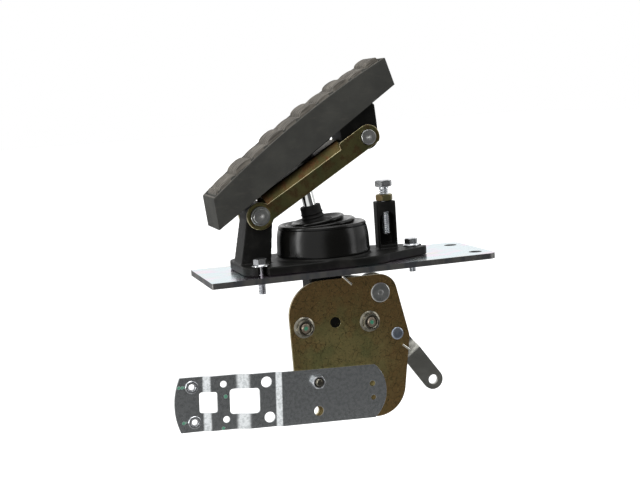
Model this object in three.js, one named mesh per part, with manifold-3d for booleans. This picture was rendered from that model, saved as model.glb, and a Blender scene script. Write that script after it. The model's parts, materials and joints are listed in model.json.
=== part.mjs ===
// Treadle accelerator pedal: floor plate, cast base, treadle lever and tread above the plate,
// side plate, bell crank, output arm and adapter bracket below it.
// Millimetres. +X runs from the heel of the tread to its toe, +Y across the pedal, +Z up.
// The origin is on the underside of the floor plate, under the rubber boot, on the middle plane.
import * as THREE from 'three';
import { mergeVertices } from 'three/addons/utils/BufferGeometryUtils.js';
import Module from 'manifold-3d';

const wasm = await Module();
wasm.setup();

// ---- driving dimensions ----
const GAP = 0.3;                                   // clearance between touching pieces
const PLATE = { left: -104, right: 138.5, half: 45, t: 4.8 };
const MOUNT_HOLE = { x: 126, y: 27, r: 5.5 };
const FLANGE = { low: PLATE.t + 0.2, high: 12, half: 40 };
const FLANGE_BOLTS = [[-60.5, -29], [-60.5, 29], [79, 0]];
const FLANGE_SLOT = 3.6;                           // half width of the flange's open slots
const HINGE = { x: -54.6, z: 50.8 };               // lower pin
const TOE = { x: 40.6, z: 107.6 };                 // upper pin
const ROD_TOP = { x: -12.4, z: 76 };               // rod pin in the lever
const CRANK_PIN = { x: 9, z: -33.9 };              // rod pin in the crank
const SHAFT = { x: 41.3, z: -21.4 };               // main shaft
const CRANK_PIN_R = 3.5;
const FORK_HOLE = CRANK_PIN_R + 1.2;               // the opened pivot's clearance
const CRANK = { half: 2.5, arm: 4.4, eye: 7.2, hub: 14.3, sleeve: 8.6 };
const PIN_R = 6.2;
const BUSH_R = 7.9;
const CHEEK = { inner: 14, outer: 17 };            // lever cheeks
const BOOT = { x: 1, low: 14.6, base: 39, rim: 36.2, top: 39.4, wall: 3, neck: 54.8 };
const NECK = { left: -16, right: 20, half: 13, low: -17 };
const POST = { x: 57.2, halfX: 8.5, near: -5.5, far: 6.5, top: 52.3 };
const POST_WINDOW = { wall: 1.6, low: 15.5, high: 43.4, round: 6.5, floor: 4.8 };
const SCREW_R = 4;                                 // stop screw
const SIDE = { near: -20.5, far: -17.5 };          // front side plate
const REAR = { near: 15, far: 18 };                // rear side plate
const SIDE_BOLTS = { left: [-26, -43.2], right: [30.6, -44.5] };
const BOLT_HOLE = 4.3;                             // for the side bolts
const SPRING_POST = { x: 54.2, z: -57.6 };
const ARM = { bend: [66, -70.3], end: [91.1, -105.9], width: 17.4, t: 3.2, hole: 4.2 };
const BRACKET = { x: 29.5, z: -103.35, tilt: 2.6, half: 22.7, near: -23, t: 2 };
const PAD = { x: -90.3, z: 43.4, tilt: 34.33, length: 187, thick: 22, crown: 5.2, half: 23 };

// ---- finishes ----
function finish(color, roughness, metalness) {
  return new THREE.MeshStandardMaterial({ color, roughness, metalness });
}

const FINISH = {
  bright: finish(0xc8ccd0, 0.3, 0.9),
  yellow: finish(0x8a7a3c, 0.45, 0.7),
  casting: finish(0x222322, 0.45, 0.2),
  rubber: finish(0x474845, 0.8, 0),
  gloss: finish(0x121212, 0.25, 0),
  grey: finish(0x6f716d, 0.4, 0.8),
};

// ---- solids ----
function solid(geometry) {
  const bare = geometry.clone();
  bare.deleteAttribute('normal');
  bare.deleteAttribute('uv');
  const merged = mergeVertices(bare, 1e-4);
  const index = Array.from(merged.index.array);
  const kept = [];
  for (let i = 0; i < index.length; i += 3) {
    const [a, b, c] = index.slice(i, i + 3);
    if (a !== b && b !== c && a !== c) kept.push(a, b, c);
  }
  const vertProperties = new Float32Array(merged.attributes.position.array);
  return new wasm.Manifold(new wasm.Mesh({ numProp: 3, vertProperties, triVerts: new Uint32Array(kept) }));
}

function geometryOf(body) {
  const mesh = body.getMesh();
  const geometry = new THREE.BufferGeometry();
  geometry.setAttribute('position', new THREE.BufferAttribute(new Float32Array(mesh.vertProperties), 3));
  geometry.setIndex(new THREE.BufferAttribute(new Uint32Array(mesh.triVerts), 1));
  return geometry;
}

function join(...parts) {
  return geometryOf(parts.map(solid).reduce((all, next) => all.add(next)));
}

function cut(base, ...tools) {
  return geometryOf(tools.map(solid).reduce((all, tool) => all.subtract(tool), solid(base)));
}

function common(a, b) {
  return geometryOf(solid(a).intersect(solid(b)));
}

// ---- outlines and basic bodies ----
function polygon(points) {
  const shape = new THREE.Shape();
  points.forEach(([a, b], i) => (i ? shape.lineTo(a, b) : shape.moveTo(a, b)));
  shape.closePath();
  return shape;
}

// a rectangle whose four corners, from the low left one anticlockwise, have the radii given
function rounded(a0, b0, a1, b1, radii) {
  const [p, q, r, s] = Array.isArray(radii) ? radii : [radii, radii, radii, radii];
  const shape = new THREE.Shape();
  shape.moveTo(a0 + p, b0);
  shape.absarc(a1 - q, b0 + q, q, -Math.PI / 2, 0, false);
  shape.absarc(a1 - r, b1 - r, r, 0, Math.PI / 2, false);
  shape.absarc(a0 + s, b1 - s, s, Math.PI / 2, Math.PI, false);
  shape.absarc(a0 + p, b0 + p, p, Math.PI, 1.5 * Math.PI, false);
  return shape;
}

// the outline of a belt round several circles [a, b, r], given anticlockwise
function belt(circles) {
  const shape = new THREE.Shape();
  const turns = circles.map((circle, i) => {
    const [a, b, r] = circle;
    const [c, d, s] = circles[(i + 1) % circles.length];
    const along = Math.atan2(d - b, c - a);
    return along - Math.acos(Math.max(-1, Math.min(1, (r - s) / Math.hypot(c - a, d - b))));
  });
  circles.forEach(([a, b, r], i) => {
    const from = turns[(i + circles.length - 1) % circles.length];
    let to = turns[i];
    while (to < from) to += 2 * Math.PI;
    shape.absarc(a, b, r, from, to, false);
  });
  return shape;
}

function slab(shape, low, high, curveSegments = 5) {
  const settings = { depth: high - low, bevelEnabled: false, curveSegments };
  return new THREE.ExtrudeGeometry(shape, settings).translate(0, 0, low);
}

// an outline in X and Z, extruded across the pedal from y0 to y1
function side(shape, y0, y1, curveSegments = 5) {
  return slab(shape, 0, y1 - y0, curveSegments).rotateX(Math.PI / 2).translate(0, y1, 0);
}

function pinY(x, z, r, y0, y1, segments = 18) {
  return new THREE.CylinderGeometry(r, r, y1 - y0, segments).translate(x, (y0 + y1) / 2, z);
}

function pinZ(x, y, r, z0, z1, segments = 18) {
  return new THREE.CylinderGeometry(r, r, z1 - z0, segments)
    .rotateX(Math.PI / 2)
    .translate(x, y, (z0 + z1) / 2);
}

function block(x0, y0, z0, x1, y1, z1) {
  return new THREE.BoxGeometry(x1 - x0, y1 - y0, z1 - z0)
    .translate((x0 + x1) / 2, (y0 + y1) / 2, (z0 + z1) / 2);
}

const hexY = (x, z, flats, y0, y1) => pinY(x, z, flats / Math.sqrt(3), y0, y1, 6);
const hexZ = (x, y, flats, z0, z1) => pinZ(x, y, flats / Math.sqrt(3), z0, z1, 6);

function ringY(x, z, inner, outer, y0, y1) {
  return cut(pinY(x, z, outer, y0, y1), pinY(x, z, inner, y0 - 1, y1 + 1));
}

// a round bar between two points
function bar(a, b, r, segments = 16) {
  const from = new THREE.Vector3(...a);
  const to = new THREE.Vector3(...b);
  const along = to.clone().sub(from);
  const axis = new THREE.Vector3(0, 1, 0);
  const turn = new THREE.Quaternion().setFromUnitVectors(axis, along.clone().normalize());
  return new THREE.CylinderGeometry(r, r, along.length(), segments)
    .applyQuaternion(turn)
    .translate((a[0] + b[0]) / 2, (a[1] + b[1]) / 2, (a[2] + b[2]) / 2);
}

// a wire through a list of points
function wire(points, r) {
  const lengths = points.slice(1).map((p, i) => bar(points[i], p, r, 8));
  const corners = points.slice(1, -1).map((p) => new THREE.SphereGeometry(r * 1.02, 8, 6).translate(...p));
  return lengths.concat(corners);
}

// turns a body made in an inclined frame, given by its origin and rise, into place
const place = (geometry, origin, degrees) =>
  geometry.rotateY(THREE.MathUtils.degToRad(-degrees)).translate(origin.x, 0, origin.z);

// ---- pieces above the plate ----
function basePlate() {
  const outline = rounded(PLATE.left, -PLATE.half, PLATE.right, PLATE.half, [1.5, 8, 8, 1.5]);
  const through = [-1, PLATE.t + 1];
  return cut(
    slab(outline, 0, PLATE.t),
    ...[-1, 1].map((s) => pinZ(MOUNT_HOLE.x, s * MOUNT_HOLE.y, MOUNT_HOLE.r, ...through)),
    ...FLANGE_BOLTS.map(([x, y]) => pinZ(x, y, 3.4, ...through)),
    slab(rounded(NECK.left - 1.5, -NECK.half - 1.5, NECK.right + 1.5, NECK.half + 1.5, 2), ...through),
  );
}

// a slot round a bolt, open to the nearest edge of the flange
function flangeSlot([x, y]) {
  const reach = 20;
  const outward = y === 0 ? [x + reach, 0] : [x, y + Math.sign(y) * reach];
  return slab(belt([[x, y, FLANGE_SLOT], [...outward, FLANGE_SLOT]]), 0, reach);
}

function castingFlange() {
  const half = FLANGE.half;
  const outline = new THREE.Shape();
  outline.absarc(-56, -half + 18, 18, Math.PI, 1.5 * Math.PI, false);
  outline.absarc(27, -half + 30, 30, -Math.PI / 2, -Math.PI / 4, false);
  outline.absarc(80, -5, 10, -Math.PI / 3, 0, false);
  outline.absarc(80, 5, 10, 0, Math.PI / 3, false);
  outline.absarc(27, half - 30, 30, Math.PI / 4, Math.PI / 2, false);
  outline.absarc(-56, half - 18, 18, Math.PI / 2, Math.PI, false);
  return cut(slab(outline, FLANGE.low, FLANGE.high), ...FLANGE_BOLTS.map(flangeSlot));
}

function hingeTower() {
  const outline = new THREE.Shape();
  outline.moveTo(-73, FLANGE.high - 1);
  outline.lineTo(-47.8, FLANGE.high - 1);
  outline.absarc(HINGE.x, HINGE.z, 10.8, -0.15, Math.PI + 0.15, false);
  return side(outline, -CHEEK.inner + GAP, CHEEK.inner - GAP);
}

function stopPost() {
  const { x, halfX, near, far, top } = POST;
  const { wall, low, high, round, floor } = POST_WINDOW;
  const column = slab(rounded(x - halfX, near, x + halfX, far, 2), FLANGE.high - 1, top, 4);
  const outline = rounded(x - halfX + wall, low, x + halfX - wall, high, [2, 2, round, round]);
  return cut(column, side(outline, near - 1, floor), pinZ(x, 0, SCREW_R + GAP, high - 3, top + 1));
}

// the webs below the neck that the side bolts go through
function carrierWebs() {
  const [lx, lz] = SIDE_BOLTS.left;
  const [rx, rz] = SIDE_BOLTS.right;
  const front = belt([[lx, lz, 8], [rx, rz, 8], [NECK.right - 2, -17, 2], [NECK.left + 2, -17, 2]]);
  const rear = belt([[2, -44, 6], [rx, rz, 8], [NECK.right - 2, -17, 2], [-6, -17, 2]]);
  return [side(front, SIDE.far + GAP, -9.5), side(rear, 9.5, REAR.near - GAP)];
}

function baseCasting() {
  const boss = pinZ(BOOT.x, 0, BOOT.base + 0.5, FLANGE.high - 1, BOOT.low - GAP, 32);
  const neck = block(NECK.left, -NECK.half, NECK.low, NECK.right, NECK.half, FLANGE.high);
  const whole = join(castingFlange(), boss, hingeTower(), stopPost(), neck, ...carrierWebs());
  return cut(
    whole,
    block(-8, -8, NECK.low - 5, 17.5, 8, 20),
    pinY(HINGE.x, HINGE.z, PIN_R + GAP, -20, 20),
    ...Object.values(SIDE_BOLTS).map(([x, z]) => pinY(x, z, BOLT_HOLE, -20, 20)),
  );
}

// a turned body about the boot's own axis, from [radius, height] pairs
function bell(rows, segments) {
  return new THREE.LatheGeometry(rows.map(([r, z]) => new THREE.Vector2(r, z)), segments)
    .rotateX(Math.PI / 2)
    .translate(BOOT.x, 0, 0);
}

// the point of the plunger rod's axis at a height
function onRod(z) {
  const share = (ROD_TOP.z - z) / (ROD_TOP.z - CRANK_PIN.z);
  return [ROD_TOP.x + share * (CRANK_PIN.x - ROD_TOP.x), 0, z];
}

function boot() {
  const { low, base, rim, top, wall } = BOOT;
  const crown = top + 2.2;
  const outer = bell([[0, low], [base, low], [base, low + 2.5], [rim + 1.6, low + 4], [rim, top - 1.5],
    [rim - 1.5, top], [30, top], [26, top + 1.5], [20, crown], [0, crown]], 32);
  const inner = bell([[0, low - 1], [base - wall, low - 1], [rim - wall, top - wall], [0, top - wall]], 18);
  const neck = bar(onRod(top - 1.4), onRod(BOOT.neck), 8.6, 18);
  const bore = bar(onRod(30), onRod(60), 5.9, 20);
  return cut(join(outer, neck), inner, bore);
}

function stopScrew() {
  const { x } = POST;
  return join(pinZ(x, 0, SCREW_R, 23.9, 65), hexZ(x, 0, 13, 64.4, 70));
}

function jamNut() {
  const { x, top } = POST;
  return cut(hexZ(x, 0, 13, top + GAP, top + 5.8), pinZ(x, 0, SCREW_R + GAP, top - 1, top + 8));
}

function flangeBolt([x, y]) {
  const seat = FLANGE.high + GAP;
  const shank = pinZ(x, y, 3, -10.2, seat + 1);
  return join(shank, pinZ(x, y, 7.1, seat, seat + 1.4), hexZ(x, y, 10, seat + 1, seat + 6.2));
}

// ---- treadle lever, in its own frame: s along the line of pins, h square to it ----
const LEVER = {
  rise: THREE.MathUtils.radToDeg(Math.atan2(TOE.z - HINGE.z, TOE.x - HINGE.x)),
  length: Math.hypot(TOE.x - HINGE.x, TOE.z - HINGE.z),
};

function channelTop() {
  const { inner, outer } = CHEEK;
  const half = [[outer, 4], [inner - 1, 13]];
  const mirrored = half.map(([y, h]) => [-y, h]).reverse();
  const under = [[-inner, 0], [-inner, 3.5], [-10, 10], [10, 10], [inner, 3.5], [inner, 0]];
  const section = polygon([[-outer, 0], ...under, [outer, 0], ...half, ...mirrored]);
  const across = new THREE.Vector3(0, 1, 0);
  const up = new THREE.Vector3(0, 0, 1);
  const along = new THREE.Vector3(1, 0, 0);
  return slab(section, 13, 82).applyMatrix4(new THREE.Matrix4().makeBasis(across, up, along));
}

function leverCheek(y0, y1) {
  const { length } = LEVER;
  return [
    side(polygon([[0, -8.5], [length, -8.5], [length, 4], [0, 4]]), y0, y1),
    side(polygon([[80, -8], [length, -8], [length, 10], [80, 10]]), y0, y1),
    pinY(0, 0, 11.3, y0, y1, 24),
    pinY(length, 0, 10.3, y0, y1, 24),
  ];
}

function treadleLink() {
  const { inner, outer } = CHEEK;
  const whole = join(channelTop(), ...leverCheek(-outer, -inner), ...leverCheek(inner, outer));
  const bored = cut(whole, pinY(0, 0, BUSH_R + GAP, -20, 20), pinY(LEVER.length, 0, PIN_R + GAP, -20, 20));
  return place(bored, HINGE, LEVER.rise);
}

function leverPoint(point) {
  const turn = THREE.MathUtils.degToRad(LEVER.rise);
  const [x, z] = [point.x - HINGE.x, point.z - HINGE.z];
  return { s: x * Math.cos(turn) + z * Math.sin(turn), h: z * Math.cos(turn) - x * Math.sin(turn) };
}

function rodClevis() {
  const { s, h } = leverPoint(ROD_TOP);
  const bridge = block(s - 7, -9.9, 8.1, s + 7, 9.9, 10 - GAP);
  const ears = [-1, 1].map((sign) => {
    const span = sign < 0 ? [-9.9, -7] : [7, 9.9];
    return side(belt([[s, h, 6.5], [s + 5, 8.2, 1.2], [s - 5, 8.2, 1.2]]), ...span);
  });
  return place(cut(join(bridge, ...ears), pinY(s, h, 4.2, -12, 12)), HINGE, LEVER.rise);
}

function restBumper() {
  const foot = 13 + GAP;
  return place(pinZ(62, 0, 6, foot, foot + 2.6, 20), HINGE, LEVER.rise);
}

// ---- tread, in its own frame: u along the underside, n square to it ----
function padOutline(n0, n1, crown, inset) {
  const { length, thick } = PAD;
  const left = (n) => inset + 11.9 * (n / thick);
  const right = (n) => length - inset + 6.5 * (n / thick);
  const points = [[left(n0), n0], [right(n0), n0]];
  const steps = 12;
  for (let i = 0; i <= steps; i += 1) {
    const share = i / steps;
    const u = right(n1) + share * (left(n1) - right(n1));
    points.push([u, n1 + crown * 4 * share * (1 - share)]);
  }
  return polygon(points);
}

function treadPad() {
  const { half, thick, crown } = PAD;
  const body = side(padOutline(0, thick, crown, 0), -half, half);
  const ribs = side(padOutline(thick - 6, thick + 3.5, crown, 3), -half + 4, half - 4);
  const recess = block(5, -half + 3.5, -1, 178, half - 3.5, 4 + GAP);
  return place(cut(join(body, ribs), recess), PAD, PAD.tilt);
}

function padFrame() {
  const { half } = PAD;
  const plate = place(block(5.5, -half + 4, 0.2, 177.5, half - 4, 4), PAD, PAD.tilt);
  const lug = polygon([[25.5, 120.5], [38, 101.5], [51, 107], [49.3, 134], [44, 139]]);
  const wide = CHEEK.inner - GAP - 0.2;
  const whole = join(plate, side(lug, -wide, wide), pinY(TOE.x, TOE.z, 10.2, -wide, wide, 24));
  return cut(whole, pinY(TOE.x, TOE.z, PIN_R + GAP, -20, 20));
}

const crossPin = ({ x, z }) => pinY(x, z, PIN_R, -19.2, 20.4, 24);
const clip = ({ x, z }) => ringY(x, z, PIN_R + GAP, 9, 18, 19.2);

// ---- plunger rod and crank ----
function plungerRod() {
  const { x, z } = CRANK_PIN;
  const stem = bar(onRod(ROD_TOP.z - 3), onRod(z + 11), 5.3, 18);
  const eye = pinY(ROD_TOP.x, ROD_TOP.z, 7.6, -6.5, 6.5);
  const fork = join(bar(onRod(z + 15.4), onRod(z), 7.3, 24), pinY(x, z, 7.4, -7.3, 7.3));
  const slot = bar(onRod(z + 10.4), onRod(z - 11), 20, 32);
  const gap = common(slot, block(x - 40, -2.9, z - 40, x + 40, 2.9, z + 40));
  const eyeHole = pinY(ROD_TOP.x, ROD_TOP.z, 4.3, -9, 9);
  return cut(join(stem, eye, fork), gap, eyeHole, pinY(x, z, FORK_HOLE, -9, 9));
}

function crankLever() {
  const { half, eye, hub, sleeve } = CRANK;
  const arm = side(belt([[CRANK_PIN.x, CRANK_PIN.z, CRANK.arm], [SHAFT.x, SHAFT.z, CRANK.arm]]), -half, half);
  const whole = join(
    arm,
    pinY(CRANK_PIN.x, CRANK_PIN.z, eye, -half, half),
    pinY(SHAFT.x, SHAFT.z, hub, -half, half, 24),
    pinY(SHAFT.x, SHAFT.z, sleeve, SIDE.far + 2 * GAP, REAR.near - 2 * GAP),
  );
  const pinHole = pinY(CRANK_PIN.x, CRANK_PIN.z, CRANK_PIN_R + GAP, -9, 9);
  return cut(whole, pinY(SHAFT.x, SHAFT.z, PIN_R + GAP, -30, 30), pinHole);
}

function outputArm() {
  const { bend, end, width, t, hole } = ARM;
  const near = CRANK.half + GAP;
  const upper = side(belt([[bend[0], bend[1], width / 2], [SHAFT.x, SHAFT.z, 12.5]]), near, near + t);
  const run = Math.hypot(end[0] - bend[0], end[1] - bend[1]);
  const dip = THREE.MathUtils.radToDeg(Math.atan2(end[1] - bend[1], end[0] - bend[0]));
  const drop = near - 6;
  const profile = polygon([[-4, near], [4, near], [13, drop], [run + 12, drop], [run + 12, drop + t],
    [14, drop + t], [5, near + t], [-4, near + t]]);
  const strip = slab(profile, -width / 2, width / 2);
  const ends = side(belt([[run, 0, width / 2], [0, 0, width / 2]]), -20, 20);
  const lower = place(common(strip, ends), { x: bend[0], z: bend[1] }, dip);
  return cut(join(upper, lower), pinY(end[0], end[1], hole, -20, 20), pinY(SHAFT.x, SHAFT.z, 8.9, -20, 20));
}

function returnSpring(y0, y1, leg) {
  const coil = ringY(SHAFT.x, SHAFT.z, 9.2, 12.2, y0, y1);
  return join(coil, ...wire(leg, 1));
}

// ---- side plates, shaft and fasteners below the plate ----
function frontSidePlate() {
  const outline = belt([[-16, -101, 20.3], [34, -101, 25.3], [SPRING_POST.x, SPRING_POST.z - 3, 11],
    [SHAFT.x, SHAFT.z, 15.1], [-9.5, -34.5, 28.3]]);
  const across = [SIDE.near - 1, SIDE.far + 1];
  return cut(
    side(outline, SIDE.near, SIDE.far, 8),
    ...Object.values(SIDE_BOLTS).map(([x, z]) => pinY(x, z, BOLT_HOLE, ...across)),
    pinY(1.1, -42.2, 4.6, ...across),
    pinY(SHAFT.x, SHAFT.z, PIN_R + GAP, ...across),
    pinY(SPRING_POST.x, SPRING_POST.z, 3.1, ...across),
    pinY(-18.4, -88.8, 3.4, ...across),
    pinY(-22, -113.5, 4.2, ...across),
  );
}

function rearSidePlate() {
  const [rx, rz] = SIDE_BOLTS.right;
  const outline = belt([[2, -44, 8], [rx, rz, 9], [SHAFT.x, SHAFT.z, 9.5]]);
  return cut(side(outline, REAR.near, REAR.far), pinY(rx, rz, BOLT_HOLE, 10, 20),
    pinY(SHAFT.x, SHAFT.z, PIN_R + GAP, 10, 20));
}

function mainShaft() {
  const { x, z } = SHAFT;
  return join(
    pinY(x, z, PIN_R, SIDE.near - 1, REAR.far + 1),
    pinY(x, z, 8.2, SIDE.near - 1.8, SIDE.near - GAP),
    pinY(x, z, 8, REAR.far + GAP, REAR.far + 2),
  );
}

function springPost() {
  const { x, z } = SPRING_POST;
  return join(
    pinY(x, z, 2.8, SIDE.near - 1, SIDE.far + 1),
    pinY(x, z, 5.2, SIDE.near - 1.7, SIDE.near - GAP),
    pinY(x, z, 4, SIDE.far + GAP, -8),
  );
}

function sideBolt([x, z], head) {
  return join(pinY(x, z, 4, -27.5, head + 1), hexY(x, z, 13, head, head + 5.3));
}

function sideNut([x, z]) {
  const seat = SIDE.near - GAP;
  const whole = join(pinY(x, z, 8.9, seat - 1.8, seat), hexY(x, z, 13, seat - 6.5, seat - 1));
  return cut(whole, pinY(x, z, 4 + GAP, seat - 10, seat + 2));
}

// ---- adapter bracket, in its own frame: a along the strip, b square to it ----
function bracketPoint([a, b]) {
  const turn = THREE.MathUtils.degToRad(-BRACKET.tilt);
  const [c, s] = [Math.cos(turn), Math.sin(turn)];
  return [BRACKET.x + a * c - b * s, BRACKET.z + a * s + b * c];
}

// the strip steps back towards +Y three times: [end of one flat, start of the next, depth of the step]
const BRACKET_STEPS = [[-78, -84, 2.5], [-103, -117, 4], [-135.5, -143.5, 2.5]];
const BRACKET_TAIL = BRACKET.near + 9;             // near face of the last flat
const BRACKET_SCREW = [-48.5, 12.4];
const PRESS_NUTS = { upper: [-151.7, 14.7], lower: [-150, -14.4] };
// round holes [a, b, radius]
const BRACKET_HOLES = [[...BRACKET_SCREW, 3.4], [-47.8, -12.6, 4], [-0.8, 6.5, 2.4], [0, -5.4, 2.1],
  [-91, 15, 4.4], [-88.9, -14.5, 4.4], [-125.9, 15.4, 2.7], [-124.2, -14, 2.7],
  [...PRESS_NUTS.upper, 3.9], [...PRESS_NUTS.lower, 3.9]];

function adapterBracket() {
  const { half, near, t } = BRACKET;
  const front = [[15, near]];
  let depth = near;
  BRACKET_STEPS.forEach(([from, to, step]) => {
    front.push([from, depth]);
    depth += step;
    front.push([to, depth]);
  });
  front.push([-170, depth]);
  const back = front.map(([a, y]) => [a, y + t]).reverse();
  const strip = slab(polygon(front.concat(back)), -half, half);
  const outline = new THREE.Shape();
  const bow = Math.asin(half / 30);
  const heel = Math.asin(half / 57);
  outline.absarc(-18.2, 0, 30, -bow, bow, false);
  outline.absarc(-109, 0, 57, Math.PI - heel, Math.PI + heel, false);
  const ends = side(outline, near - 5, depth + 10, 8);
  const window = (a0, b0, a1, b1, r) => side(rounded(a0, b0, a1, b1, r), -40, 10, 3);
  const flat = cut(
    common(strip, ends),
    window(-120.9, -10, -96.9, 10.8, 3),
    window(-145.6, -7.5, -131.3, 9.5, 2),
    ...BRACKET_HOLES.map(([a, b, r]) => pinY(a, b, r, -40, 10, 14)),
  );
  return place(flat, BRACKET, -BRACKET.tilt);
}

function pressNut(spot) {
  const [x, z] = bracketPoint(spot);
  const face = BRACKET_TAIL - GAP;
  const whole = join(pinY(x, z, 5.2, face - 1, face), pinY(x, z, 3.6, face - GAP, face + 2.8));
  return cut(whole, pinY(x, z, 2.5, face - 5, face + 10));
}

function bracketBolt() {
  const [x, z] = bracketPoint(BRACKET_SCREW);
  return join(pinY(x, z, 3, -30, SIDE.far + 1), hexY(x, z, 10, SIDE.far + GAP, SIDE.far + 4.3));
}

function bracketNut() {
  const [x, z] = bracketPoint(BRACKET_SCREW);
  const seat = BRACKET.near - GAP;
  return cut(hexY(x, z, 10, seat - 5, seat), pinY(x, z, 3 + GAP, seat - 8, seat + 2));
}

// ---- assembly ----
const pedal = new THREE.Group();

function add(name, geometry, material) {
  const mesh = new THREE.Mesh(geometry, material);
  mesh.name = name;
  pedal.add(mesh);
}

add('base_plate', basePlate(), FINISH.bright);
add('base_casting', baseCasting(), FINISH.casting);
const boltNames = ['left_front', 'left_rear', 'right'];
FLANGE_BOLTS.forEach((spot, i) => add(`flange_bolt_${boltNames[i]}`, flangeBolt(spot), FINISH.bright));
add('boot', boot(), FINISH.gloss);
add('stop_screw', stopScrew(), FINISH.bright);
add('jam_nut', jamNut(), FINISH.yellow);

add('treadle_link', treadleLink(), FINISH.yellow);
add('rod_clevis', rodClevis(), FINISH.grey);
add('rest_bumper', restBumper(), FINISH.rubber);
const bush = (y0, y1) => ringY(HINGE.x, HINGE.z, PIN_R + GAP, BUSH_R, y0, y1);
add('hinge_bush_front', bush(-CHEEK.outer - 0.4, -CHEEK.inner), FINISH.grey);
add('hinge_bush_rear', bush(CHEEK.inner, CHEEK.outer + 0.4), FINISH.grey);
add('hinge_pin', crossPin(HINGE), FINISH.grey);
add('hinge_clip', clip(HINGE), FINISH.grey);
add('upper_pin', crossPin(TOE), FINISH.grey);
add('upper_clip', clip(TOE), FINISH.grey);
add('pad_frame', padFrame(), FINISH.casting);
add('tread_pad', treadPad(), FINISH.rubber);

add('plunger_rod', plungerRod(), FINISH.bright);
add('rod_pin', pinY(ROD_TOP.x, ROD_TOP.z, 4, -11.5, 11.5), FINISH.grey);
add('crank_lever', crankLever(), FINISH.grey);
add('crank_pin', pinY(CRANK_PIN.x, CRANK_PIN.z, CRANK_PIN_R, -8.8, 8.8), FINISH.grey);
add('output_arm', outputArm(), FINISH.grey);

add('front_side_plate', frontSidePlate(), FINISH.yellow);
add('rear_side_plate', rearSidePlate(), FINISH.yellow);
add('main_shaft', mainShaft(), FINISH.grey);
add('spring_post', springPost(), FINISH.grey);
add('return_spring_front', returnSpring(-16.6, -10.6, [[37, -15, -11.2], [9.4, -15, -4.6], [9.4, -21.9, -4.6],
  [16.7, -21.9, -12]]), FINISH.bright);
add('return_spring_rear', returnSpring(-10, -4, [[52, -8, -22], [66.5, -8, -75], [66.5, -21.9, -75],
  [57.7, -21.9, -67.2]]), FINISH.bright);
add('side_bolt_left', sideBolt(SIDE_BOLTS.left, -9.5 + GAP), FINISH.bright);
add('side_bolt_right', sideBolt(SIDE_BOLTS.right, REAR.far + GAP), FINISH.bright);
add('side_nut_left', sideNut(SIDE_BOLTS.left), FINISH.bright);
add('side_nut_right', sideNut(SIDE_BOLTS.right), FINISH.bright);

add('adapter_bracket', adapterBracket(), FINISH.bright);
add('clinch_nut_upper', pressNut(PRESS_NUTS.upper), FINISH.grey);
add('clinch_nut_lower', pressNut(PRESS_NUTS.lower), FINISH.grey);
add('bracket_bolt', bracketBolt(), FINISH.bright);
add('bracket_nut', bracketNut(), FINISH.bright);

export default pedal;
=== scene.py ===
# %% [markdown]
# # A treadle accelerator pedal
# A rubber tread sits on a hinged lever above a steel floor plate. The lever pushes a bright rod
# down through a rubber boot, and below the floor the rod turns a bell crank with an output arm.
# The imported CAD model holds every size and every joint. This script gives each part its real
# surface: bevelled plates, turned pins, helical threads, cast fillets, moulded ribs and platings.

# %% Frame
import json
import math

import bmesh
import bpy
from mathutils import Matrix, Vector


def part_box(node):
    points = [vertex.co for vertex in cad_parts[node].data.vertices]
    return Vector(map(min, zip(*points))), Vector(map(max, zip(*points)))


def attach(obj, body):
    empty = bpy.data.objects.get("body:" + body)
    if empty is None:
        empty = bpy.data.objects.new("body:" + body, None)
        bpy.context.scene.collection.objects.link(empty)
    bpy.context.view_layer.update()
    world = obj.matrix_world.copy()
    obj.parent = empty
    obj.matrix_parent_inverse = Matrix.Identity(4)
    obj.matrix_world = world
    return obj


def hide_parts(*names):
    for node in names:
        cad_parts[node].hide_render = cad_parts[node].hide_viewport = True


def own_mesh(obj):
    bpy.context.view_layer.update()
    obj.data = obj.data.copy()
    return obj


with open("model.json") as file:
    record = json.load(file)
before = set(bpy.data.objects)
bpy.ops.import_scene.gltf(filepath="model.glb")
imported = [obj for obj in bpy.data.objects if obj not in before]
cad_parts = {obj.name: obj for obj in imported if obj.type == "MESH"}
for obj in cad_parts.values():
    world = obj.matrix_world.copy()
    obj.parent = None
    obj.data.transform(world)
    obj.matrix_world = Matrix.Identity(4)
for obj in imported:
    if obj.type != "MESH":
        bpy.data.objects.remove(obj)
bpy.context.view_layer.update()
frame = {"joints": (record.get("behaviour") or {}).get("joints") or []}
MM = 0.001


# %% [markdown]
# Everything below is drawn in millimetres and shrunk to metres when a piece is finished. Places
# come from the frame: a node's box says how wide and how high a part is, and a joint's record
# says where its pin is, so no piece needs fitting afterwards. Three rivet and bolt places below
# the floor are used by several parts, so they are named once, as X and Z.

# %% Where things are
def span(node):
    low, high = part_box(node)
    return low / MM, high / MM


def middle(node):
    low, high = span(node)
    return (low + high) / 2


def depths(node):
    """Back and front of a part that lies across the pedal, measured towards the viewer."""
    low, high = span(node)
    return -high.y, -low.y


def pivot(name):
    joint = next(j for j in frame["joints"] if j["name"] == name)
    return Vector(joint["pos_m"]) / MM


HINGE = pivot("treadle_hinge")
TOE = pivot("tread_pivot")
ROD_TOP = pivot("rod_pivot")
SHAFT = pivot("crank_shaft")
CRANK_PIN = middle("crank_pin")
LEFT_BOLT, RIGHT_BOLT, POST_AT = (-26, -43.2), (30.6, -44.5), (54.2, -57.6)
print("Hinge", HINGE, "toe", TOE, "rod", ROD_TOP, "shaft", SHAFT)


# %% [markdown]
# Flat parts start as an outline: a list of points in which every round stretch is an arc. Three
# small functions draw all of them. `corners` rounds the corners of a polygon, `belt` runs round
# several circles as a belt runs round its pulleys, and `ring` is a plain hole.

# %% Outlines
def clamp(x, low=0.0, high=1.0):
    return max(low, min(high, x))


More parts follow.
